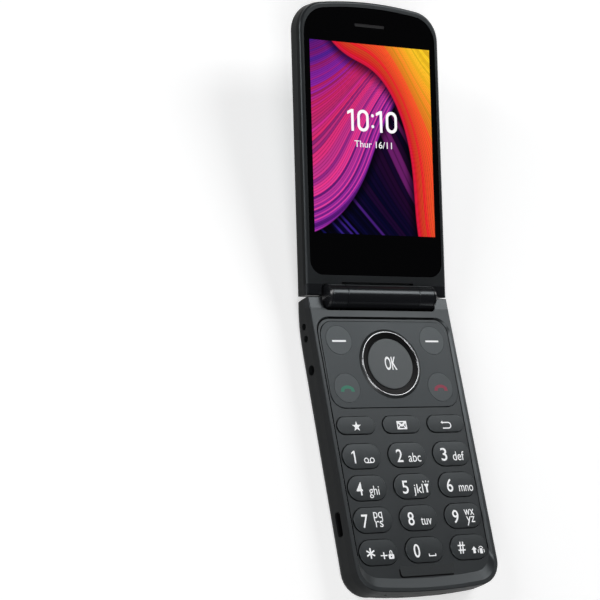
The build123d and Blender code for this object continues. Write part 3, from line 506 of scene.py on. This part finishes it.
def bright_trim():
    """Polished trim with faint turning marks round the ring."""
    material, tree, shader = new_material("chrome", (0.40, 0.41, 0.42), 0.18, Metallic=1.0)
    fill(tree, shader, {"Roughness": spread(tree, noise(tree, 900.0, 2.0), 0.12, 0.2)})
    return material


def spun_metal():
    """Dark metal turned on a lathe: hair-fine circles about the key's middle."""
    material, tree, shader = new_material("spun_metal", (0.045, 0.046, 0.048), 0.28, Metallic=1.0,
                                          Anisotropic=0.8)
    tangent = add_node(tree, "Tangent", {}, direction_type="RADIAL", axis="Z")
    fill(tree, shader, {"Roughness": spread(tree, noise(tree, 1500.0, 2.0), 0.22, 0.36),
                        "Tangent": tangent["Tangent"]})
    return material


def ring_plastic():
    """Rocker ring: satin outside the bright trim, painted black as shade on the slope that runs down to the
    centre key.
    """
    material, tree, shader = new_material("ring_plastic", RING_COLOUR, 0.38)
    outside = beyond_radius(tree, (0, HINGE[1] + NAV_Y * MM, 0), (1, 1, 0), CHROME_INNER_R)
    fill(tree, shader, {
        # Inside the trim's radius the slope is painted black as shade.
        "Base Color": two_tones(tree, outside, RING_SLOPE_SHADE, RING_COLOUR),
        "Specular IOR Level": mapped(tree, outside, 0.0, 1.0, RING_SLOPE_SHADE_SPECULAR, RING_SPECULAR)})
    return material


ROUND_KEYS = ("key_soft_left", "key_soft_right", "key_call", "key_end")


def dress_nodes(finish):
    """Each CAD node's own finish."""
    flat_keys = [node for node in frame["nodes"] if node.startswith("key_") and node not in ROUND_KEYS]
    flat_keys.remove("key_frame")
    worn = {
        "front_plastic": ["key_frame"],
        "panel_plastic": ["nav_panel"],
        "ring_plastic": ["nav_ring"],
        "ok_plastic": ["nav_ok"],
        "round_key_plastic": ROUND_KEYS,
        "key_plastic": flat_keys,
        "pad_plastic": ["thumb_pad"],
        "lid_frame_plastic": ["screen_frame"],
        "barrel_plastic": ["hinge_caps"],
        "shell_plastic": ["battery_cover", "outer_cover", "volume_key"],
        "housing_plastic": ["rear_housing"],
        "black_glass": ["main_glass", "outer_glass", "camera_window"],
        "film": ["torch_lens", "dome_sheet"],
        "spun_metal": ["call_key"],
        "chrome": ["nav_chrome_ring"],
        "module_gloss": ["main_display", "outer_display"],
        "black_plastic": ["charging_socket"],
        "jack_plastic": ["headphone_jack", "speaker_grille", "microphone", "earpiece", "camera_module"],
        "steel": ["base_screws", "lid_screws", "board_shield", "hinge_cartridge", "hinge_shaft",
                  "cable_sleeve", "vibration_motor", "loudspeaker", "closing_magnet"],
        "cell_wrap": ["battery"],
        "light_metal": ["chassis_plate"],
        "board": ["main_board", "lid_board"],
        "gold_plate": ["charging_contacts"],
    }
    for name, nodes in worn.items():
        for node in nodes:
            for place in frame["nodes"][node].material_slots:
                place.material = finish[name]


# ---- legends on the keys -----------------------------------------------------------------------
DIGIT_BASE, DIGIT_HEIGHT, DIGIT_WEIGHT = -2.4, 4.25, 0.006
DIGIT_MIDDLE, DIGIT_WIDTH = -3.15, 2.4
LETTER_BASE, LETTER_HEIGHT = -2.45, 2.0


def digit(figure):
    """A tall narrow figure in the left half of a key; the one has a flag."""
    middle, base, top = DIGIT_MIDDLE, DIGIT_BASE, DIGIT_BASE + DIGIT_HEIGHT
    if figure == "1":
        return slab([[(middle + 0.05, base), (middle + 0.6, base), (middle + 0.6, top), (middle + 0.15, top),
                      (middle - 0.75, top - 0.65), (middle - 0.75, top - 1.2), (middle + 0.05, top - 0.62)]])
    return word(figure, middle - DIGIT_WIDTH / 2, middle + DIGIT_WIDTH / 2, base, DIGIT_HEIGHT, DIGIT_WEIGHT)


def letters(words, x0, x1, base=LETTER_BASE):
    """Small letters from x0 to x1, standing on a base line."""
    return word(words, x0, x1, base, LETTER_HEIGHT, unit=SMALL_HEIGHT)


def tape_icon():
    """Two reels joined by a line."""
    reels = [slab([circle(x, -1.5, 0.92), circle(x, -1.5, 0.6)]) for x in (1.5, 3.75)]
    return reels + [slab([rectangle(1.4, 3.85, -2.42, -2.1)])]


def torch_icon():
    """Upright hand torch with a flared head and three short rays."""
    torch = [(4.45, 0.55), (4.5, 0.2), (5.0, -0.55), (5.0, -2.36), (5.65, -2.36), (5.65, -0.55), (6.15, 0.2),
             (6.2, 0.55)]
    rays = [[(4.45, 1.0), (4.1, 1.55)], [(5.33, 1.05), (5.33, 1.7)], [(6.2, 1.0), (6.55, 1.55)]]
    return [slab([torch]), *[slab([stroke(ray, 0.26)]) for ray in rays]]


def lock_icon():
    """Closed padlock."""
    body = np.vstack([arc(5.2, -2.0, 0.4, -90, 0, 6), [(5.6, -0.9)], [(5.1, -0.9)],
                      arc(4.55, -0.15, 0.55, 0, 180, 15), [(4.0, -0.9)], [(3.5, -0.9)],
                      arc(3.9, -2.0, 0.4, 180, 270, 6)])
    loop = np.vstack([[(4.3, -0.9)], arc(4.55, -0.15, 0.25, 180, 0, 9), [(4.8, -0.9)]])
    return [slab([body, loop, circle(4.55, -1.65, 0.28, 12)])]


def space_icon():
    """Open bracket that stands for a space."""
    return [slab([stroke([(1.45, -1.45), (1.45, -2.2), (4.0, -2.2), (4.0, -1.45)], 0.32)])]


def shift_icon():
    """Arrow up."""
    return [slab([[(1.83, 0.05), (0.8, -1.05), (1.35, -1.05), (1.35, -2.25), (2.31, -2.25), (2.31, -1.05),
                   (2.86, -1.05)]])]


def silent_icon():
    """Upright handset under an arch, between two waves."""
    body = slab([rounded_rectangle(4.05, 5.15, -2.45, -0.75, 0.2)])
    arch = slab([stroke(arc(4.6, -0.95, 0.85, 165, 15, 15), 0.28)])
    waves = [slab([stroke(arc(4.6, -1.6, 1.22, middle - 28, middle + 28, 9), 0.24)]) for middle in (0, 180)]
    return [body, arch, *waves]


def star_icon():
    """Five-pointed star."""
    angle = np.radians(90 + 36 * np.arange(10))
    radius = np.where(np.arange(10) % 2, 0.72, 1.8)
    return [slab([np.stack([radius * np.cos(angle), -0.45 + radius * np.sin(angle)], 1)])]


def envelope_icon():
    """Envelope: a bright outline with the lines of its flap, which leave four dark fields."""
    x0, x1, y0, y1 = -1.95, 1.93, -1.72, 1.12
    edge, dip = 0.42, -0.45
    above = [(x0 + 1.0, y1 - edge), (0, dip + 0.42), (x1 - 1.0, y1 - edge)]
    left = [(x0 + edge, y1 - 0.75), (-0.78, -0.3), (x0 + edge, y0 + 0.72)]
    right = [(x1 - edge, y1 - 0.75), (x1 - edge, y0 + 0.72), (0.76, -0.3)]
    below = [(x0 + 0.85, y0 + edge), (x1 - 0.85, y0 + edge), (0.62, dip - 0.12), (0, dip - 0.42),
             (-0.62, dip - 0.12)]
    return [slab([rectangle(x0, x1, y0, y1), above, left, right, below])]


def back_icon():
    """Arrow that turns back to the left."""
    line = np.vstack([[(-1.25, 0.3)], arc(0.95, -0.68, 0.98, 90, -90, 19), [(-1.45, -1.66)]])
    head = [(-1.25, -0.12), (-2.1, 0.3), (-1.25, 1.0)]
    return [slab([np.vstack([stroke(line, 0.4), head])])]


def dash_icon():
    """Level dash."""
    return [slab([rectangle(-2.7, 2.7, -0.65, -0.05)])]


def handset_icon():
    """Telephone handset seen from the side: a flat arch with a wider block at each end."""
    back = arc(0, -2.75, 3.55, 46, 134, 17)
    front = arc(0, -2.75, 2.5, 118, 62, 11)
    left = [(-2.75, -1.35), (-1.4, -1.35), (-1.3, -0.6)]
    right = [(1.3, -0.6), (1.4, -1.35), (2.75, -1.35)]
    return [slab([np.vstack([back, left, front, right])])]


def asterisk_icon():
    """Six arms, as on a telephone keypad."""
    ends = [arc(-3.2, -0.22, 1.72, turn - 180, turn, 2) for turn in (90, 30, -30)]
    return [slab([stroke(pair, 0.52)]) for pair in ends]


def hash_icon():
    """Two upright and two level bars."""
    upright = [slab([stroke([(x - 0.22, -2.16), (x + 0.22, 1.83)], 0.42)]) for x in (-3.62, -2.58)]
    level = [slab([rectangle(-4.54, -1.66, y - 0.21, y + 0.21)]) for y in (-0.95, 0.6)]
    return upright + level


def legends():
    """What is printed on each key, as slabs about the key's middle."""
    return {
        "key_1": [digit("1"), *tape_icon()],
        "key_2": [digit("2"), letters("abc", 0.26, 5.2)],
        "key_3": [digit("3"), letters("def", 0.36, 4.97)],
        "key_4": [digit("4"), letters("ghi", 0.44, 4.37)],
        "key_5": [digit("5"), letters("jkl", 0.08, 3.85), *torch_icon()],
        "key_6": [digit("6"), letters("mno", 0.42, 6.2)],
        "key_7": [digit("7"), letters("pq", 0.39, 3.78, 0.53), letters("rs", 0.71, 3.65)],
        "key_8": [digit("8"), letters("tuv", 0.62, 4.87)],
        "key_9": [digit("9"), letters("wx", 0.55, 4.58, 0.0), letters("yz", 1.1, 4.48)],
        "key_asterisk": [*asterisk_icon(), word("+", 0.46, 3.04, -2.85, 3.2), *lock_icon()],
        "key_0": [digit("0"), *space_icon()],
        "key_hash": [*hash_icon(), *shift_icon(), *silent_icon()],
        "key_star": star_icon(),
        "key_message": envelope_icon(),
        "key_back": back_icon(),
        "key_soft_left": dash_icon(),
        "key_soft_right": dash_icon(),
        "key_call": handset_icon(),
        "key_end": handset_icon(),
    }


def crown(y):
    """Level of a key's face at y along it, below its middle: the round of the crown's radius."""
    return np.sqrt(KEY_CROWN_R ** 2 - y ** 2) - KEY_CROWN_R


def print_legends(finish):
    """Lays each legend on its key's crown, which falls away along the phone from the key's middle."""
    inks = {"key_call": "green_ink", "key_end": "red_ink"}
    for key, parts in legends().items():
        x, y, top = centre_of(key)
        points, faces = cut_in_rows(*joined(parts))
        if key not in ROUND_KEYS:
            points[:, 2] += crown(points[:, 1])
        points += (x, y, top - INK_SUNK)
        add_piece(f"legend_{key}", on_base(points), faces, key,
                  finish[inks.get(key, "white_ink")])
    x, y, top = centre_of("nav_ok")
    points, faces = word("OK", -2.3, 2.3, -2.1, 4.4, 0.014)
    add_piece("legend_nav_ok", on_base(points + (x, y, top - INK_SUNK)), faces, "nav_ok",
              finish["white_ink"])


def homing_bar(finish):
    """Raised bar under the five."""
    x, y, top = centre_of("key_5")
    low, high, sunk = -3.75, -3.35, 0.05
    points, faces = slab([rounded_rectangle(-1.5, 0.6, low, high, 0.18)], 0.2)
    points += (x, y, top + crown((low + high) / 2) - sunk)
    add_piece("homing_bar", on_base(points), faces, "key_5", finish["key_plastic"])


# ---- trim --------------------------------------------------------------------------------------
def pad_gap(finish):
    """Black strip of painted shadow round the thumb pad's left end and lower edge: its outline and the same
    line further out.
    """
    centre = (PAD_LEFT + PAD_CORNER, PAD_FOOT + PAD_CORNER)
    outer = [[(PAD_LEFT - PAD_SHADOW_WIDTH, PAD_FOOT + PAD_SHADOW_RISE)], arc(*centre, PAD_CORNER + PAD_SHADOW_WIDTH, 180, 270, 9),
             [(PAD_SHADOW_END, PAD_FOOT - PAD_SHADOW_WIDTH)]]
    inner = [[(PAD_SHADOW_END, PAD_FOOT)], arc(*centre, PAD_CORNER, 270, 180, 9),
             [(PAD_LEFT, PAD_FOOT + PAD_SHADOW_RISE)]]
    # A black sheet on the tray floor that stands for the pad's shadow.
    points, faces = slab([np.vstack(outer + inner)])
    sunk = 0.005
    points += (0, 0, TRAY_FLOOR - sunk)
    add_piece("pad_gap", on_base(points), faces, "base", finish["black_plastic"])


def call_sign(finish):
    """Four lines and a handset on the round outer key."""
    ends = ((-3.4, -0.2, 1.3), (-3.0, 0.2, 0.42), (-3.4, -0.1, -0.46), (-3.05, 0.1, -1.34))
    lines = [slab([rectangle(x0, x1, y - 0.2, y + 0.2)]) for x0, x1, y in ends]
    handset = [slab([stroke(arc(2.95, 0.0, 1.85, 128, 236, 15), 0.62)]),
               slab([circle(2.05, 1.42, 0.55, 20)]), slab([circle(2.2, -1.5, 0.58, 20)])]
    points, faces = joined([*lines, *handset])
    points += (0, -CALL_KEY_Y, CALL_KEY_PROUD - INK_SUNK)
    add_piece("legend_outer_call_key", on_lid(outside_point(points)), faces, "call_key",
              finish["silver_ink"])


def chrome_ring(finish):
    """Bright ring round the centre key: a half-round bead in the rocker ring's groove, lapping its edge."""
    x, y, top = centre_of("nav_chrome_ring")
    inner = CHROME_INNER_R - CHROME_LAP
    middle, half = (inner + CHROME_OUTER_R) / 2, (CHROME_OUTER_R - inner) / 2
    angle = np.linspace(0, 2 * math.pi, 24, endpoint=False)
    profile = np.stack([middle + half * np.cos(angle), top + CHROME_HEIGHT * (np.sin(angle) - 1)], 1)
    points, faces = ring_surface(profile, x, y)
    ring = add_piece("chrome_ring", on_base(points), faces, "nav_ring", finish["chrome"], True)
    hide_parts("nav_chrome_ring")


def earpiece_mesh(finish):
    """Fine woven mesh in the earpiece slot: a shallow stadium whose surface waves both ways.

    Its half width at x is that of the slot's straight part, or of the round end beyond it, and its height
    is the product of two cosines, one along x and one along y.
    """
    columns, rows = 124, 13
    far, end = SLOT_LENGTH / 2 - MESH_EDGE, SLOT_WIDTH / 2 - MESH_EDGE
    straight = (SLOT_LENGTH - SLOT_WIDTH) / 2
    x, share = np.meshgrid(np.linspace(-far, far, columns), np.linspace(-1, 1, rows), indexing="ij")
    beyond = np.clip(np.abs(x) - straight, 0, None)
    y = SLOT_Y + share * np.sqrt(np.clip(end ** 2 - beyond ** 2, 1e-6, None))
    turn = 2 * math.pi / MESH_PITCH
    z = GLASS_TOP - MESH_SUNK + MESH_WAVE * np.cos(turn * x) * np.cos(turn * y)
    points, faces = np.stack([x, y, z], -1).reshape(-1, 3), grid_faces(columns, rows)[:, ::-1].tolist()
    add_piece("earpiece_mesh", on_lid(points), faces, "lid", finish["mesh_metal"], True)


# ---- inner screen ------------------------------------------------------------------------------
def blend(low, high, share):
    """Colours that go from low to high with a share."""
    return low + (high - low) * share[..., None]


def smooth_step(value, low, high):
    """0 below low, 1 above high, and a smooth rise between them."""
    share = np.clip((value - low) / (high - low), 0, 1)
    return share * share * (3 - 2 * share)


STRAND_TURN, STRAND_SCATTER = 12.9898, 43758.5453


def strands(field, count, seed):
    """Light and tone of fine strands laid side by side along a field: each strand has its own light.

    Returns the light, which falls off to a dark line at each strand's edge, and a shift of tone. A strand's
    own light is the last part of a large multiple of the sine of its number.
    """
    number = np.floor(field * count)
    own = np.abs(np.sin(number * STRAND_TURN + seed) * STRAND_SCATTER) % 1.0
    edge = 1 - np.abs(2 * (field * count - number) - 1) ** 5
    return (0.45 + 0.75 * own) * (0.30 + 0.70 * edge), own - 0.5


def run_of(colours, level):
    """Colour at a level between 0 and 1 along evenly spaced colours."""
    stops = np.linspace(0, 1, len(colours))
    return np.stack([np.interp(level, stops, [colour[i] for colour in colours]) for i in range(3)], -1)


NIGHT_COLOURS = [(0.004, 0.003, 0.030), (0.012, 0.010, 0.150), (0.060, 0.008, 0.110), (0.150, 0.010, 0.060)]
PINK_COLOURS = [(0.080, 0.010, 0.210), (0.250, 0.020, 0.330), (0.520, 0.035, 0.260), (0.640, 0.020, 0.120),
                (0.240, 0.015, 0.300), (0.060, 0.010, 0.190)]
WARM_COLOURS = [(0.960, 0.560, 0.020), (0.930, 0.330, 0.020), (0.830, 0.090, 0.020), (0.620, 0.008, 0.020),
                (0.450, 0.008, 0.060)]
SHEET_EDGE = 0.004                           # half width of the blur at a sheet's border
PICTURE_GAIN = 1.25


def laid_over(below, sheet, border, shadow, reach):
    """A sheet laid over the colours below where its border is above 0, with a soft shadow just outside it."""
    shaded = below * (1 - shadow * smooth_step(border, -reach, 0.0))[..., None]
    return blend(shaded, sheet, smooth_step(border, -SHEET_EDGE, SHEET_EDGE))


def ribbon_colours(u, v):
    """Colours of the screen's picture at u across and v up, both 0 to 1.

    Three sheets of fine strands lie over one another: a night blue one with few lit strands, a violet to
    pink one over it, and a red to yellow one on top. Each sheet's strands follow a wavy field, its border
    is a wave too, and it throws a soft shadow on the sheet below.
    """
    night = 0.62 * v + 0.50 * u + 0.09 * np.sin(4.4 * v + 2.0 * u)
    light, shift = strands(night, 62, 0.7)
    lit = np.where(shift > 0.30, 1.0, 0.16)
    colour = run_of(NIGHT_COLOURS, night + 0.5 * shift) * (light * lit)[..., None]

    rose = 0.95 * v - 0.55 * u + 0.16 * np.sin(3.3 * u + 1.1) + 0.05 * np.sin(7.0 * v)
    border = rose - 0.10 - 0.10 * np.sin(2.4 * v + 0.5)
    light, shift = strands(rose, 74, 2.3)
    sheet = run_of(PINK_COLOURS, 0.9 * rose + 0.35 * shift) * light[..., None]
    colour = laid_over(colour, sheet, border, 0.8, 0.09)

    sun = 0.80 * (1 - u) + 0.62 * (1 - v) + 0.14 * np.sin(3.9 * v - 0.8) - 0.06 * np.sin(8.0 * u)
    border = 0.60 - sun
    light, shift = strands(sun, 66, 4.1)
    sheet = run_of(WARM_COLOURS, 1.5 * sun - 0.12 + 0.25 * shift) * (0.25 + 0.75 * light)[..., None]
    colour = laid_over(colour, sheet, border, 0.85, 0.10)
    return np.clip(PICTURE_GAIN * colour, 0, 1)


def screen_picture():
    """The lit picture: a flat grid on the glass whose points carry the ribbons' colours."""
    columns, rows = 248, 330
    u, v = np.meshgrid(np.linspace(0, 1, columns), np.linspace(0, 1, rows), indexing="ij")
    x = (2 * u - 1) * SCREEN_HALF
    y = SCREEN_NEAR + v * (SCREEN_FAR - SCREEN_NEAR)
    points = np.stack([x, y, np.full_like(x, GLASS_TOP + PICTURE_PROUD)], -1).reshape(-1, 3)
    material, tree, shader = new_material("lit_picture", (0.0, 0.0, 0.0), 0.06)
    colour = add_node(tree, "Attribute", {}, attribute_name="picture")["Color"]
    fill(tree, shader, {"Emission Color": colour, "Emission Strength": 1.0})
    piece = add_piece("screen_picture", on_lid(points), grid_faces(columns, rows).tolist(), "lid",
                      material)
    attribute = piece.data.attributes.new("picture", "FLOAT_COLOR", "POINT")
    values = np.concatenate([ribbon_colours(u, v), np.ones((*u.shape, 1))], -1)
    attribute.data.foreach_set("color", values.astype(np.float32).ravel())


def glowing(name, colour):
    """Lit part of a screen."""
    material, tree, shader = new_material(name, (0, 0, 0), 0.1)
    fill(tree, shader, {"Emission Color": (*colour, 1), "Emission Strength": 1.0})
    return material


def ten(x, base, height, weight):
    """The figures 1 and 0 side by side about x, narrow and of even weight."""
    top, wide, gap, flag = base + height, 0.62 * height, 0.2 * height, 0.34 * height
    left = x - (wide + gap + flag) / 2
    stem, flag_foot = left + flag, top - 0.11 * height
    one = [(stem - weight, base), (stem, base), (stem, top), (stem - 0.9 * weight, top), (left, flag_foot),
           (left, flag_foot - weight), (stem - weight, top - 1.15 * weight)]
    x0, x1, bend = stem + gap, stem + gap + wide, 0.48 * wide
    ring = [rounded_rectangle(x0, x1, base, top, bend),
            rounded_rectangle(x0 + weight, x1 - weight, base + weight, top - weight, bend - 0.8 * weight)]
    return [slab([one]), slab(ring)]


def screen_clock():
    """Time and date over the picture."""
    base, height, weight = 56.0, 7.4, 1.0
    dots = [slab([circle(0.0, y, 0.55, 20)]) for y in (57.9, 61.6)]
    points, faces = joined([*ten(-5.9, base, height, weight), *dots, *ten(5.7, base, height, weight),
                            word(DATE, -7.6, 7.6, 50.6, 2.2)])
    points += (0, 0, GLASS_TOP + CLOCK_PROUD)
    add_piece("screen_clock", on_lid(points), faces, "lid",
              glowing("clock_white", (1, 1, 1)))


# ---- outer screen ------------------------------------------------------------------------------
def outside_point(points):
    """Lettering on the lid's outside: it reads with the hinge at its top, seen from outside."""
    x, y, z = np.asarray(points, float).T
    return np.stack([x, -y, OUTER_FACE - z], 1)


def add_outside(name, parts, material, proud=0.02):
    """Lit slabs over the outer glass; the two flips keep their faces outward."""
    points, faces = joined(parts)
    points += (0, 0, proud)
    add_piece(name, on_lid(outside_point(points)), faces, "lid", material)


def outer_screen():
    """The small outer screen: signal and battery at its top, big time, and the date."""
    base, thick = -37.4, 0.05
    field = slab([rounded_rectangle(-15.2, 15.2, -71.6, -33.4, 0.6)], 0.02)
    add_outside("outer_screen_field", [field], glowing("outer_screen_black", (0.002, 0.002, 0.003)), -0.01)
    bars = [slab([rectangle(x, x + 0.6, base + 0.1, base + 0.1 + height)], thick)
            for x, height in zip(np.arange(5) * 0.85 - 11.2, (0.5, 1.0, 1.5, 2.0, 2.5))]
    cell = slab([rounded_rectangle(9.2, 13.2, base, base + 2.2, 0.3)], thick)
    signs = [*bars, cell, word("100%", 2.6, 8.4, base, 2.2), word(DATE, -7.9, 7.9, -67.6, 2.7)]
    add_outside("outer_screen_signs", signs, glowing("outer_screen_white", (0.9, 0.92, 0.95)))
    blue, mint = glowing("hour_blue", (0.10, 0.62, 0.95)), glowing("minute_mint", (0.30, 0.85, 0.62))
    for name, line, colour in (("outer_screen_hour", -50.6, blue), ("outer_screen_minute", -63.2, mint)):
        add_outside(name, ten(0.0, line, 10.2, 1.5), colour)


# ---- stage -------------------------------------------------------------------------------------
FLOOR_REACH, FLOOR_STEPS, FLOOR_LEVEL = 4.0, 9, -0.00005    # metres, and points along each side
FLOOR_COLOUR, FLOOR_GLOW = (0.80, 0.80, 0.80), 0.44
HORIZON_COLOUR, OVERHEAD_COLOUR, OVERHEAD_FROM = (0.36, 0.365, 0.37), (0.025, 0.026, 0.028), 0.26


def pale_floor():
    """Wide level floor just under the phone; its paper white keeps a soft shadow.

    It glows for camera, glossy and transmission rays only, so that the glow adds no diffuse light.
    """
    material, tree, shader = new_material("floor_paper", FLOOR_COLOUR, 0.9)
    path = add_node(tree, "LightPath", {})
    seen = maths(tree, "MAXIMUM", path["Is Camera Ray"], path["Is Glossy Ray"])
    seen = maths(tree, "MAXIMUM", seen, path["Is Transmission Ray"])
    fill(tree, shader, {"Emission Color": (1, 1, 1, 1),
                        "Emission Strength": maths(tree, "MULTIPLY", seen, FLOOR_GLOW)})
    line = np.linspace(-FLOOR_REACH, FLOOR_REACH, FLOOR_STEPS)
    x, y = (grid.ravel() for grid in np.meshgrid(line, line, indexing="ij"))
    mesh = bpy.data.meshes.new("floor")
    mesh.from_pydata(np.stack([x, y, np.full_like(x, FLOOR_LEVEL)], 1).tolist(), [],
                     grid_faces(FLOOR_STEPS, FLOOR_STEPS).tolist())
    mesh.materials.append(material)
    floor = bpy.data.objects.new("floor", mesh)
    bpy.context.scene.collection.objects.link(floor)


def studio_air():
    """World light: pale at the horizon, darker overhead, so that upward gloss stays deep."""
    world = bpy.data.worlds.new("studio_air")
    bpy.context.scene.world = world
    world.use_nodes = True
    tree = world.node_tree
    height = add_node(tree, "SeparateXYZ", {0: add_node(tree, "TexCoord", {})["Generated"]})["Z"]
    ramp = tree.nodes.new("ShaderNodeValToRGB")
    for element, place, colour in zip(ramp.color_ramp.elements, (0.0, OVERHEAD_FROM),
                                      (HORIZON_COLOUR, OVERHEAD_COLOUR)):
        element.position = place
        element.color = (*colour, 1)
    fill(tree, ramp, {"Fac": height})
    fill(tree, tree.nodes["Background"], {"Color": ramp.outputs["Color"], "Strength": 1.0})


def softbox(name, place, target, width, height, power):
    """Area lamp that faces a point; places and sizes in metres, power in watts."""
    lamp = bpy.data.lights.new(name, "AREA")
    lamp.shape = "RECTANGLE"
    lamp.size, lamp.size_y = width, height
    lamp.energy = power
    holder = bpy.data.objects.new(name, lamp)
    holder.location = place
    holder.rotation_mode = "QUATERNION"
    holder.rotation_quaternion = (Vector(target) - Vector(place)).to_track_quat("-Z", "Y")
    bpy.context.scene.collection.objects.link(holder)


def lights():
    """Four softboxes: one overhead, and three that look at the phone's middle."""
    middle = (0, 0.03, 0.01)
    softbox("top_softbox", (0.50, 0.435, 0.66), (0.50, 0.435, 0.0), 0.56, 0.37, 3.3)
    softbox("right_fill", (1.00, 0.22, 0.34), middle, 0.30, 0.5, 1.15)
    softbox("left_strip", (-0.90, 0.33, 0.47), middle, 0.30, 0.5, 4.0)
    softbox("front_fill", (-0.52, -0.58, 0.85), middle, 0.6, 0.6, 6.0)


def camera():
    """The camera's place, aim, roll about its own axis and lens."""
    lens = bpy.data.cameras.new("camera")
    lens.lens = CAMERA_LENS
    lens.sensor_width = CAMERA_SENSOR
    lens.clip_start, lens.clip_end = 0.01, 20.0
    holder = bpy.data.objects.new("camera", lens)
    holder.location = CAMERA_PLACE
    holder.rotation_mode = "QUATERNION"
    aim = (CAMERA_TARGET - CAMERA_PLACE).to_track_quat("-Z", "Y")
    holder.rotation_quaternion = (aim.to_matrix() @ Matrix.Rotation(CAMERA_ROLL, 3, "Z")).to_quaternion()
    bpy.context.scene.collection.objects.link(holder)
    bpy.context.scene.camera = holder


def main():
    """Dresses the solids, adds the pieces that are new, and sets the stage."""
    finish = finishes()
    dress_nodes(finish)
    print_legends(finish)
    homing_bar(finish)
    pad_gap(finish)
    call_sign(finish)
    chrome_ring(finish)
    earpiece_mesh(finish)
    screen_picture()
    screen_clock()
    outer_screen()
    pale_floor()
    studio_air()
    lights()
    camera()
    bpy.context.scene.view_settings.view_transform = "Standard"


main()
